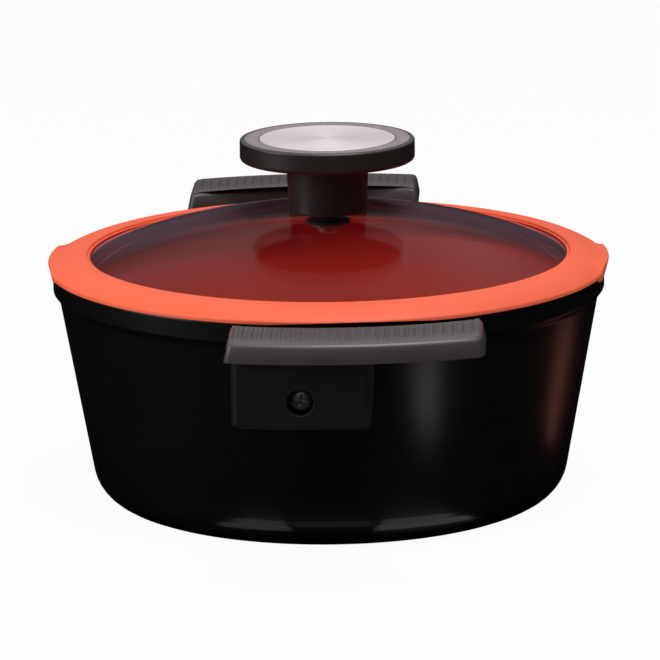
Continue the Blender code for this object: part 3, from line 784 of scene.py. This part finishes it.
def ring_section():
    """Corners of the ring, from its lip on the glass out over the crown, down and back under the glass."""
    lip = ring_inner - glass_lip_reach
    groove = glass_radius + seat_gap
    ledge = glass_height(lip) + seat_gap + lip_edge
    seat = pot_height + seat_gap
    edge_top = seat + ring_edge_thickness
    under_glass = glass_height(groove, glass_thickness) - seat_gap
    under_lip = glass_height(lip, glass_thickness) - seat_gap
    under_ring = under_glass - glass_lip_thickness
    skirt_inner = skirt_radius - skirt_thickness
    skirt_bottom = pot_height - skirt_length
    points = [
        point(lip, glass_height(lip) + seat_gap, round=0.00015),
        point(lip, ledge, round=0.0002),
        point(ring_inner, ledge - lip_step, round=0.0002),
        point(ring_inner, crown_start - lip_step),
    ]
    points += crown((ring_inner + lip_step, crown_start), (ring_outer, edge_top), ring_crown)
    points += [
        point(ring_outer, seat, round=0.0003, dip=lip_drop, tuck=lip_tuck),
        point(skirt_radius, seat, round=0.0002, dip=lip_drop),
        point(skirt_radius - skirt_taper, skirt_bottom, round=0.0005),
        point(skirt_inner, skirt_bottom, round=0.0005),
        point(skirt_inner - skirt_taper, under_ring),
        point(groove, under_ring),
        point(lip, under_lip - glass_lip_thickness, round=0.0003),
        point(lip, under_lip, round=0.0002),
        point(groove, under_glass),
        point(groove, glass_height(groove) + seat_gap),
    ]
    return points


silicone_ring = turned("silicone_ring", ring_section(), True, orange_silicone)
print("ring width in mm:", in_mm(ring_outer - ring_inner))

# %% [markdown]
# ## The knob
# The knob is one moulding: a disc to pinch, on a post that tapers a little downwards. Its top has a shallow
# recess for the steel disc, and its foot is hollow for the seal and the insert. The band between the disc
# and the rounded edge lies a hair lower, so that the ribs that come later end level with the knob's top.
# The foot goes down to just above the glass, lower than in the frame, because no gap shows under the
# photographed knob.

# %% Knob section
knob_low, knob_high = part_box("lid_knob")
knob_foot_radius = 0.0169
knob_radius = knob_high.x
knob_top = knob_high.z
knob_foot = glass_height(knob_foot_radius) + seat_gap
disc_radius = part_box("knob_cap")[1].x
disc_thickness = 0.0010
knob_under = knob_top - 0.0094
ribbed_inner = disc_radius + 0.0006
ribbed_outer = knob_radius - 0.0023
rib_sink = 0.0003
post_top = 0.0179
foot_recess_radius = 0.0140
knob_rounding = 0.0026
turned_steps = 192
pocket_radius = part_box("knob_insert")[1].x + seat_gap
pocket_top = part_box("knob_insert")[1].z + 0.0012
seal_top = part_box("knob_upper_seal")[1].z + seat_gap


def knob_section():
    """Corners of the knob, from the middle of its recess out, round the disc, down the post and up inside."""
    recess = knob_top - disc_thickness - seat_gap
    ribbed = knob_top - rib_sink
    return [
        point(0.0, recess),
        point(disc_radius + seat_gap, recess),
        # The corners marked inside, the recess and the ribbed band, take the light grey of the ribs: a
        # painted sheen.
        point(disc_radius + seat_gap, knob_top, round=0.0001, inside=1.0),
        point(ribbed_inner, knob_top, round=0.0001, inside=1.0),
        point(ribbed_inner + rib_sink, ribbed, round=0.0001, inside=1.0),
        point(ribbed_outer - rib_sink, ribbed, round=0.0001, inside=1.0),
        point(ribbed_outer, knob_top, round=0.0002, inside=1.0),
        point(knob_radius, knob_top, round=knob_rounding),
        point(knob_radius, knob_under, round=0.0018),
        point(post_top, knob_under, round=0.0020),
        point(knob_foot_radius, knob_foot, round=0.0008),
        point(foot_recess_radius, knob_foot, round=0.0002),
        point(foot_recess_radius, seal_top),
        point(pocket_radius, seal_top),
        point(pocket_radius, pocket_top),
        point(0.0, pocket_top),
    ]


knob = turned("knob_moulding", knob_section(), False, matt_black_knob, knob_rib_painted_sheen, steps=turned_steps)
print("the foot ends", in_mm(knob_low.z - knob_foot, 2), "mm below the frame's")
knob_size = (2 * knob_radius, knob_top - knob_foot)
print("knob across and high in mm:", [in_mm(side) for side in knob_size])

# %% [markdown]
# ## The steel disc
# A blanked and brushed disc, 1 mm thick with a fine bevel, drops into the recess. The photographed one is
# very slightly dished from brushing, and here it stays flat, as its sheen comes from the circular lines.

# %% Steel disc
disc_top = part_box("knob_cap")[1].z
disc_points = [
    point(0.0, disc_top),
    point(disc_radius * 0.5, disc_top),
    point(disc_radius, disc_top, round=0.00015),
    point(disc_radius, disc_top - disc_thickness, round=0.0001),
    point(0.0, disc_top - disc_thickness),
]
steel_disc = turned("steel_disc", disc_points, False, brushed_steel, steps=turned_steps)
print("steel disc across in mm:", in_mm(2 * disc_radius))

# %% [markdown]
# ## The grips
# Each grip is a flat bar that follows the pot's circle. Its ends are cut square to the pot, and one end
# reaches further along than the other. It is wider at its foot than at its top. The bar is lofted between
# two outlines and rounded: tight corners at the held end, fuller ones at the free end, and a soft edge all
# round the top. A slot below takes the arm's tongue.

# %% Grip body
grip_low, grip_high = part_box("front_handle_grip")
grip_left = grip_low.x
grip_right = grip_high.x
grip_inner = ring_outer + 0.0225
grip_outer = -grip_low.y
grip_draft = 0.0016
arm_reach = grip_outer - 0.0061
tongue_top = arm_high.z
arm_top = grip_low.z - seat_gap
tongue_margin = 0.0045
slot_inset = 0.0065
slot_end = 0.0055
slot_lead = 0.002
held_corner = 0.0024
free_corner = 0.0050
top_rounding = 0.0019
foot_rounding = 0.0004
grip_steps = 36
slot_steps = 12
level_tolerance = 0.00001


def sector(left, right, inner, outer, steps, grow=0.0):
    """Outline between two arcs about the pot's axis with square ends, as seen from above."""
    points = []
    left, right = left - grow, right + grow
    for radius, start, end in ((outer + grow, left, right), (inner - grow, right, left)):
        for i in range(steps + 1):
            x = start + (end - start) * i / steps
            points.append((x, -math.sqrt(radius ** 2 - x * x)))
    return points


def upright_edges(bm, x, radius, reach):
    """The upright edges near the place on a circle that has this x."""
    y = -math.sqrt(radius ** 2 - x * x)
    found = []
    for edge in bm.edges:
        a, b = (v.co for v in edge.verts)
        middle = (a + b) / 2
        upright = abs(a.z - b.z) > max(abs(a.x - b.x), abs(a.y - b.y))
        if upright and math.hypot(middle.x - x, middle.y - y) < reach:
            found.append(edge)
    return found


def level_edges(bm, z):
    """The edges that lie at one height."""
    return [e for e in bm.edges if all(abs(v.co.z - z) < level_tolerance for v in e.verts)]


def grip_body():
    """The front grip, its edges rounded and its slot cut."""
    foot = sector(grip_left, grip_right, grip_inner, grip_outer, grip_steps)
    crest = sector(grip_left, grip_right, grip_inner, grip_outer, grip_steps, -grip_draft)
    bm = lofted([[(x, y, grip_low.z) for x, y in foot], [(x, y, grip_high.z) for x, y in crest]])
    for x, corner in ((grip_left, held_corner), (grip_right, free_corner)):
        edges = []
        for radius in (grip_inner, grip_outer):
            edges += upright_edges(bm, x, radius, 2 * grip_draft)
        round_edges(bm, edges, corner, 8)
    round_edges(bm, level_edges(bm, grip_high.z), top_rounding, 6)
    round_edges(bm, level_edges(bm, grip_low.z), foot_rounding, 2)
    made = as_object("front_grip", bm, soft_touch_grip)
    slot_outline = sector(
        arm_low.x + tongue_margin, arm_high.x - tongue_margin, grip_inner + slot_inset, arm_reach - slot_end,
        slot_steps, seat_gap,
    )
    levels = arm_top - slot_lead, tongue_top + seat_gap
    slot = lofted([[(x, y, z) for x, y in slot_outline] for z in levels])
    combine(made, [as_object("slot", slot, soft_touch_grip)], "DIFFERENCE")
    return made


front_grip = grip_body()
smooth(front_grip)

# %% [markdown]
# ## Ribs on the grips
# The top of each grip is ribbed from front to back so that it doesn't slip in a wet hand. The ribs repeat
# and follow the two arcs of the bar, so a tree lays them: one rounded rib of a few faces is put at each
# point of a line and stretched to reach from one arc to the other. Every second rib is a little lower, as
# the photograph shows broad bars with finer lines between them.

# %% Rib tree
rib_powers = {"X": 1.5, "Y": 8.0}
rib_fall = 0.7


def rib_shape(tree):
    """A closed bar one unit long and wide whose top is rounded towards its edges."""
    calc = partial(math_node, tree)
    block = add(tree, "GeometryNodeMeshCube", {
        "Size": (1.0, 1.0, 1.0), "Vertices X": 5, "Vertices Y": 7, "Vertices Z": 2,
    })
    spot = add(tree, "ShaderNodeSeparateXYZ", {0: add(tree, "GeometryNodeInputPosition")}).outputs
    keep = 1.0
    for axis, power in rib_powers.items():
        doubled = calc("ABSOLUTE", calc("MULTIPLY", spot[axis], 2.0))
        left = calc("SUBTRACT", 1.0, calc("POWER", doubled, power))
        keep = calc("MULTIPLY", left, keep)
    upper = calc("GREATER_THAN", spot["Z"], 0.0)
    depth = calc("MULTIPLY", upper, rib_fall)
    sink = calc("MULTIPLY", calc("SUBTRACT", keep, 1.0), depth)
    offset = add(tree, "ShaderNodeCombineXYZ", {"Z": sink})
    inputs = {"Geometry": block.outputs["Mesh"], "Offset": offset}
    return add(tree, "GeometryNodeSetPosition", inputs)


def with_body(tree, ribs, body):
    """The ribs and the body as one real mesh."""
    joined = add(tree, "GeometryNodeJoinGeometry")
    for shape in (ribs, body):
        feed(joined, {0: shape})
    return add(tree, "GeometryNodeRealizeInstances", {"Geometry": joined})


def grip_rib_tree():
    """Lays ribs side by side along X, each from the inner arc to the outer arc."""
    tree, given, result = group(
        "rib_grip", Body="Geometry", Count="Int", First_X="Float", Pitch="Float", Width="Float",
        Height="Float", Low_Share="Float", Level="Float", Inner_Arc="Float", Outer_Arc="Float",
        Finish="Material",
    )
    calc = partial(math_node, tree)
    line = add(tree, "GeometryNodeMeshLine", {"Count": given["Count"]})
    index = add(tree, "GeometryNodeInputIndex")
    x = calc("ADD", calc("MULTIPLY", index, given["Pitch"]), given["First X"])

    def reach(label):
        squares = [calc("POWER", length, 2.0) for length in (given[label], x)]
        return calc("SQRT", calc("SUBTRACT", *squares))

    far, near = reach("Outer Arc"), reach("Inner Arc")
    middle = calc("MULTIPLY", calc("ADD", far, near), -0.5)
    spot = add(tree, "ShaderNodeCombineXYZ", {"X": x, "Y": middle, "Z": given["Level"]})
    placed = add(tree, "GeometryNodeSetPosition", {"Geometry": line, "Position": spot})
    odd = calc("MODULO", index, 2.0)
    shares = {"Value": odd, "To Min": 1.0, "To Max": given["Low Share"]}
    lower = add(tree, "ShaderNodeMapRange", shares)
    size = add(tree, "ShaderNodeCombineXYZ", {
        "X": given["Width"],
        "Y": calc("SUBTRACT", far, near),
        "Z": calc("MULTIPLY", given["Height"], lower),
    })
    ribs = add(tree, "GeometryNodeInstanceOnPoints", {
        "Points": placed, "Instance": rib_shape(tree), "Scale": size,
    })
    real = with_body(tree, ribs, given["Body"])
    out = add(tree, "GeometryNodeSetMaterial", {"Geometry": real, "Material": given["Finish"]})
    feed(result, {"Geometry": out})
    return tree


rib_grip = grip_rib_tree()
rib_pitch = 0.00195
rib_margin = 0.0030
rib_width = 0.0019
rib_height = 0.0011
low_rib_share = 0.6
rib_start_gap = 0.0004
rib_end_gap = 0.0022
rib_span = grip_right - grip_left - 2 * rib_margin
rib_count = int(rib_span / rib_pitch) + 1
run_tree(
    front_grip, rib_grip, Count=rib_count, First_X=grip_left + rib_margin, Pitch=rib_pitch, Width=rib_width,
    Height=rib_height, Low_Share=low_rib_share, Level=grip_high.z, Finish=soft_touch_grip,
    Inner_Arc=grip_inner + grip_draft + rib_start_gap, Outer_Arc=grip_outer - grip_draft - rib_end_gap,
)
smooth(front_grip)
rear_grip = linked("rear_grip", front_grip.data.copy())
rear_grip.data.transform(half_turn)
print(rib_count, "ribs on each grip,", len(front_grip.data.polygons), "faces a grip")

# %% [markdown]
# ## Ribs on the knob
# The top of the knob's disc round the steel is ribbed as well, with fine ribs that run like the spokes of a
# wheel. The same rib shape is put at the points of a circle and turned to face outwards. The ribs are
# marked before they are joined to the body, so that they alone get the lighter grey, a painted sheen.

# %% Knob rib tree
def knob_rib_tree():
    """Lays ribs like spokes round the Z axis."""
    tree, given, result = group(
        "rib_knob", Body="Geometry", Count="Int", Middle_Radius="Float", Level="Float", Size="Vector",
        Rib_Finish="Material",
    )
    calc = partial(math_node, tree)
    line = add(tree, "GeometryNodeMeshLine", {"Count": given["Count"]})
    index = add(tree, "GeometryNodeInputIndex")
    turn = calc("MULTIPLY", calc("DIVIDE", index, given["Count"]), math.tau)
    spot = add(tree, "ShaderNodeCombineXYZ", {
        "X": calc("MULTIPLY", calc("SINE", turn), given["Middle Radius"]),
        "Y": calc("MULTIPLY", calc("COSINE", turn), given["Middle Radius"]),
        "Z": given["Level"],
    })
    placed = add(tree, "GeometryNodeSetPosition", {"Geometry": line, "Position": spot})
    facing = add(tree, "ShaderNodeCombineXYZ", {"Z": calc("MULTIPLY", turn, -1.0)})
    marked = add(tree, "GeometryNodeCaptureAttribute", {"Geometry": rib_shape(tree)}, domain="FACE")
    marked.capture_items.new("FLOAT", "Rib")
    feed(marked, {"Rib": 1.0})
    ribs = add(tree, "GeometryNodeInstanceOnPoints", {
        "Points": placed, "Instance": marked.outputs["Geometry"], "Rotation": facing,
        "Scale": given["Size"],
    })
    real = with_body(tree, ribs, given["Body"])
    chosen = add(tree, "FunctionNodeCompare", {0: marked.outputs["Rib"], 1: 0.5}, operation="GREATER_THAN")
    out = add(tree, "GeometryNodeSetMaterial", {
        "Geometry": real, "Selection": chosen, "Material": given["Rib Finish"],
    })
    feed(result, {"Geometry": out})
    return tree


rib_knob = knob_rib_tree()
knob_rib_count = 108
knob_rib_width = 0.0015
knob_rib_height = 0.0008
run_tree(
    knob, rib_knob, Count=knob_rib_count, Middle_Radius=(ribbed_inner + ribbed_outer) / 2,
    Level=knob_top - knob_rib_height / 2, Rib_Finish=knob_rib_painted_sheen,
    Size=(knob_rib_width, ribbed_outer - ribbed_inner, knob_rib_height),
)
smooth(knob)
knob_rib_pitch = math.pi * (ribbed_inner + ribbed_outer) / knob_rib_count
print("knob ribs every", in_mm(knob_rib_pitch, 2), "mm")

# %% [markdown]
# ## Pieces kept from the frame
# The arms, washers, seals, the insert and the lid's screw already have the right shape in the frame. Each
# is copied, its loose triangles are merged to clean faces, and a small bevel takes the knife edge off, as
# on any moulded or turned part. The copy then stands for the node. Weighted normals keep the flat faces
# flat in the shading.

# %% Refined copies
def refined(name, node, material, bevel):
    """A copy of a frame node with clean faces, softened edges and its own finish."""
    bm = bmesh.new()
    bm.from_mesh(frame["nodes"][node].data)
    bmesh.ops.remove_doubles(bm, verts=bm.verts, dist=merge_distance)
    bmesh.ops.dissolve_limit(bm, angle_limit=math.radians(1.0), verts=bm.verts, edges=bm.edges)
    made = as_object(name, bm, material)
    made.data.shade_smooth()
    made.data.set_sharp_from_angle(angle=smooth_angle)
    soften = made.modifiers.new("soften", "BEVEL")
    soften.width = bevel
    soften.segments = 2
    soften.limit_method = "ANGLE"
    soften.angle_limit = smooth_angle
    weigh = made.modifiers.new("weigh", "WEIGHTED_NORMAL")
    weigh.keep_sharp = True
    bake(made)
    print(f"{name}: {len(made.data.polygons)} faces")
    return made


kept = []
for name, node, material, bevel in (
    ("front_arm", "front_handle_arm", black_phenolic, 0.00025),
    ("front_washer", "front_handle_washer", black_zinc, 0.00008),
    ("rear_arm", "rear_handle_arm", black_phenolic, 0.00025),
    ("rear_washer", "rear_handle_washer", black_zinc, 0.00008),
    ("upper_seal", "knob_upper_seal", grey_silicone, 0.0001),
    ("threaded_insert", "knob_insert", brass, 0.0001),
    ("lower_seal", "knob_lower_seal", grey_silicone, 0.0001),
    ("steel_washer", "knob_washer", plain_stainless, 0.0001),
    ("lid_screw", "knob_screw", plain_stainless, 0.00012),
):
    kept.append((refined(name, node, material, bevel), node))

# %% [markdown]
# ## The handle screws
# A pan head is domed, and the dome is what catches the light in the bottom of its recess. The head and its
# shank are turned from one section, laid along Y, and the cross is cut into the head by two crossed slots.
# The walls of the slots are given a near-black colour, painted shade for the dark inside the cross. The
# rear screw is a copy turned half round.

# %% Handle screws
screw_length = screw_high.y - screw_low.y
head_radius = (screw_high.x - screw_low.x) / 2
head_dome = 0.0008
head_height = 0.0026
shank_radius = 0.0020
screw_steps = 48
slot_length = 0.0052
slot_width = 0.0012
slot_depth = 0.0018
slot_turn = -12.0
slot_tolerance = 0.0001


def handle_screw(name, turn):
    """A pan-headed cross screw along Y."""
    sphere = (head_radius ** 2 + head_dome ** 2) / (2 * head_dome)
    spread = math.degrees(math.asin(head_radius / sphere))
    points = arc((0.0, -sphere), sphere, 90.0, 90.0 - spread)
    points[0]["at"].x = 0.0
    points += [
        point(head_radius, -head_height, round=0.0003),
        point(shank_radius, -head_height),
        point(shank_radius, shank_radius / 2 - screw_length),
        point(shank_radius / 2, -screw_length),
        point(0.0, -screw_length),
    ]
    made = turned(name, points, False, black_zinc, steps=screw_steps)
    slots_cut = []
    for i in range(2):
        bm = bmesh.new()
        bmesh.ops.create_cube(bm, size=1.0)
        size = Matrix.Diagonal((slot_length, slot_width, 2 * slot_depth, 1.0))
        bm.transform(Matrix.Rotation(math.radians(slot_turn + 90 * i), 4, "Z") @ size)
        slots_cut.append(as_object("cross_slot", bm, black_zinc))
    combine(made, slots_cut, "DIFFERENCE")
    # Painted shade: faces inside the cross slots take the near-black colour added here.
    made.data.materials.append(slot_painted_shade)
    for face in made.data.polygons:
        across = face.center.xy.length
        dome = math.sqrt(sphere ** 2 - across ** 2) - sphere
        if across < slot_length / 2 and -head_height < face.center.z < dome - slot_tolerance:
            face.material_index = 1
    made.data.transform(turn @ Matrix.Translation((arm_middle, screw_low.y, screw_height)) @ z_to_front)
    smooth(made)
    return made


kept.append((handle_screw("front_screw", Matrix()), "front_handle_screw"))
kept.append((handle_screw("rear_screw", half_turn), "rear_handle_screw"))
print("screw length in mm:", in_mm(screw_length))

# %% [markdown]
# ## What rides on what
# The pot and its handles are one rigid body and the lid is the other. Each piece is parented to the body
# that carries the node it stands for, and that node is hidden. The pieces are grouped by material slot.

# %% Riding
slots = {
    "black_enamel": [(pot_shell, "pot_body")],
    "soft_touch_grip": [(front_grip, "front_handle_grip"), (rear_grip, "rear_handle_grip")],
    "orange_silicone": [(silicone_ring, "lid_ring")],
    "tempered_glass": [(glass_dome_piece, "lid_glass")],
    "matt_black_knob": [(knob, "lid_knob")],
    "brushed_stainless": [(steel_disc, "knob_cap")],
}
kept_slots = {
    "arm": "black_phenolic", "screw": "black_zinc_steel", "washer": "black_zinc_steel",
    "seal": "grey_silicone_seal", "insert": "brass",
}
for piece, node in kept:
    found = "brushed_stainless" if node in ("knob_washer", "knob_screw") else kept_slots[node.split("_")[-1]]
    slots.setdefault(found, []).append((piece, node))
node_body = {node: body for body, nodes in frame["record"]["behaviour"]["bodies"].items() for node in nodes}
for slot_name, pairs in slots.items():
    for piece, node in pairs:
        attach(piece, node_body[node])
        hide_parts(node)
        print(piece.name, "rides on", node_body[node], "for", node)

# %% [markdown]
# ## The stage
# The pot stands on a pale floor in a white room. Light Path lets the camera, and the mirror images in metal
# and glass, see plain white, while the floor still takes the object's shadow. The light that falls on the
# object comes from a weaker white sky and from soft boxes.

# %% Floor and sky
sky_level = 0.12
floor_white_share = 0.96
floor_half_size = 9.0


def seen_white(tree):
    """1 for rays of the camera, of reflections and of see-through glass, and 0 for light on the object."""
    rays = add(tree, "ShaderNodeLightPath").outputs
    either = math_node(tree, "MAXIMUM", rays["Is Camera Ray"], rays["Is Glossy Ray"])
    return math_node(tree, "MAXIMUM", either, rays["Is Transmission Ray"])


def matt_stage(name, colour, **constants):
    """A stage material that mirrors nothing, with its tree and its shader."""
    return shaded(name, Base_Color=linear(colour), Roughness=0.9, Specular_IOR_Level=0.0, **constants)


def pale_floor():
    """The floor: mostly plain white to what looks at it, and partly a pale surface that takes shadows."""
    made, tree, surface = matt_stage("pale_floor", "#F0F0F0")
    white = add(tree, "ShaderNodeEmission", {"Color": linear("#FFFFFF"), "Strength": 1.0})
    share = math_node(tree, "MULTIPLY", seen_white(tree), floor_white_share)
    mixed = add(tree, "ShaderNodeMixShader", {0: share, 1: surface, 2: white})
    feed(tree.nodes["Material Output"], {"Surface": mixed})
    bm = bmesh.new()
    bmesh.ops.create_grid(bm, x_segments=2, y_segments=2, size=floor_half_size)
    return as_object("floor", bm, made)


floor = pale_floor()

sky = bpy.data.worlds.new("studio_sky")
sky.use_nodes = True
bpy.context.scene.world = sky
sky_tree = sky.node_tree
sky_strength = add(sky_tree, "ShaderNodeMapRange", {
    "Value": seen_white(sky_tree), "To Min": sky_level, "To Max": 1.0,
})
feed(sky_tree.nodes["Background"], {"Color": linear("#FFFFFF"), "Strength": sky_strength})
print("sky level on the object:", sky_level)

# %% [markdown]
# ## The lamps
# One soft box hangs over the pot, a little forward and to the right, and a larger one stands at the left,
# also in front. Their brightness is written as the brightness of the panel itself, where 1 is white, and
# turned to watts by its area.

# %% Soft boxes
def soft_box(name, place, aim, width, height, brightness):
    """A white rectangular lamp that faces a point; it isn't seen by the camera."""
    data = bpy.data.lights.new(name, "AREA")
    data.shape = "RECTANGLE"
    data.size = width
    data.size_y = height
    data.energy = brightness * math.pi * width * height
    lamp = bpy.data.objects.new(name, data)
    lamp.location = place
    lamp.rotation_euler = (Vector(aim) - Vector(place)).to_track_quat("-Z", "Y").to_euler()
    lamp.visible_camera = False
    bpy.context.scene.collection.objects.link(lamp)
    return lamp


middle = (0.0, 0.0, 0.08)
soft_box("over_box", (0.20, -0.28, 1.28), middle, 0.7, 0.7, 8.0)
soft_box("left_box", (-1.45, -0.55, 0.60), middle, 0.8, 1.0, 4.2)

scene = bpy.context.scene
scene.view_settings.view_transform = "Standard"

# %% [markdown]
# ## Black cards
# A glossy black pot mirrors a white room and goes grey. A photographer lays black cards round it, just out
# of sight, and leaves bright strips where a streak of light is wanted. The cards here are seen by
# reflections only: they throw no shadow and take no light away. A ring of card lies on the floor, and a
# wall of card far out fades from black to white with height. Strips on the floor give the pot its soft grey
# streak beside the handle, its warm streak at the right, and the line of light along its lower edge, broad
# at both ends. Their places follow from the wall's lean: each was traced from the streak in the photograph,
# by way of the wall, to the floor.

# %% Cards
card_black = "#0A0A0A"
card_gap = 0.0005
card_outer = 3.0
card_wall = 1.55
fade_start = 0.78
card_steps = 180
strip_steps = 12


def only_mirrored(name, bm, material):
    """A stage object that the rays of reflections alone can meet."""
    made = as_object(name, bm, material)
    for ray in ("camera", "diffuse", "transmission", "volume_scatter", "shadow"):
        setattr(made, "visible_" + ray, False)
    return made


def on_circle(radius, angle, z):
    """A place on a circle about the pot's axis, by its bearing from the front."""
    return radius * math.sin(angle), -radius * math.cos(angle), z


def black_cards():
    """A flat ring of card on the floor and a low wall of card round its edge."""
    made, tree, surface = matt_stage("black_card", card_black, Emission_Color=linear("#FFFFFF"))
    place = add(tree, "ShaderNodeTexCoord").outputs["Object"]
    height = add(tree, "ShaderNodeSeparateXYZ", {0: place}).outputs["Z"]
    fade = add(tree, "ShaderNodeMapRange", {"Value": height, "From Min": fade_start, "From Max": card_wall})
    feed(surface, {"Emission Strength": fade})
    angles = [math.tau * i / card_steps for i in range(card_steps)]
    profile = (base_radius, card_gap), (card_outer, card_gap), (card_outer, card_wall)
    bm = bridged([[on_circle(radius, angle, z) for angle in angles] for radius, z in profile])[0]
    return only_mirrored("black_cards", bm, made)


def light_strip(name, inner, outer, colour, strength):
    """A bright strip on the card; either end is a radius and two bearings from the front, in degrees."""
    made = matt_stage(name, card_black, Emission_Color=linear(colour), Emission_Strength=strength)[0]
    bm = bmesh.new()
    rows = []
    for i in range(strip_steps + 1):
        row = []
        for radius, start, end in (inner, outer):
            angle = math.radians(start + (end - start) * i / strip_steps)
            row.append(bm.verts.new(on_circle(radius, angle, 2 * card_gap)))
        rows.append(row)
    for (a, b), (c, d) in zip(rows[:-1], rows[1:]):
        bm.faces.new((a, b, d, c))
    return only_mirrored(name, bm, made)


cards = [
    black_cards(),
    light_strip("grey_streak_strip", (0.188, 32.0, 38.0), (0.262, 31.0, 41.0), "#FFF6EC", 1.35),
    light_strip("warm_streak_strip", (0.158, 90.0, 96.0), (0.300, 103.0, 115.0), "#FFA08E", 0.66),
    light_strip("low_edge_left_strip", (0.106, -29.0, -8.0), (0.120, -22.0, -11.0), "#FFFFFF", 0.58),
    light_strip("low_edge_middle_strip", (0.110, -8.0, 13.0), (0.120, -8.0, 13.0), "#FFFFFF", 0.22),
    light_strip("low_edge_right_strip", (0.104, 13.0, 43.0), (0.120, 17.0, 34.0), "#FFFFFF", 0.68),
]
for card in cards:
    print(card.name, "is only seen mirrored")
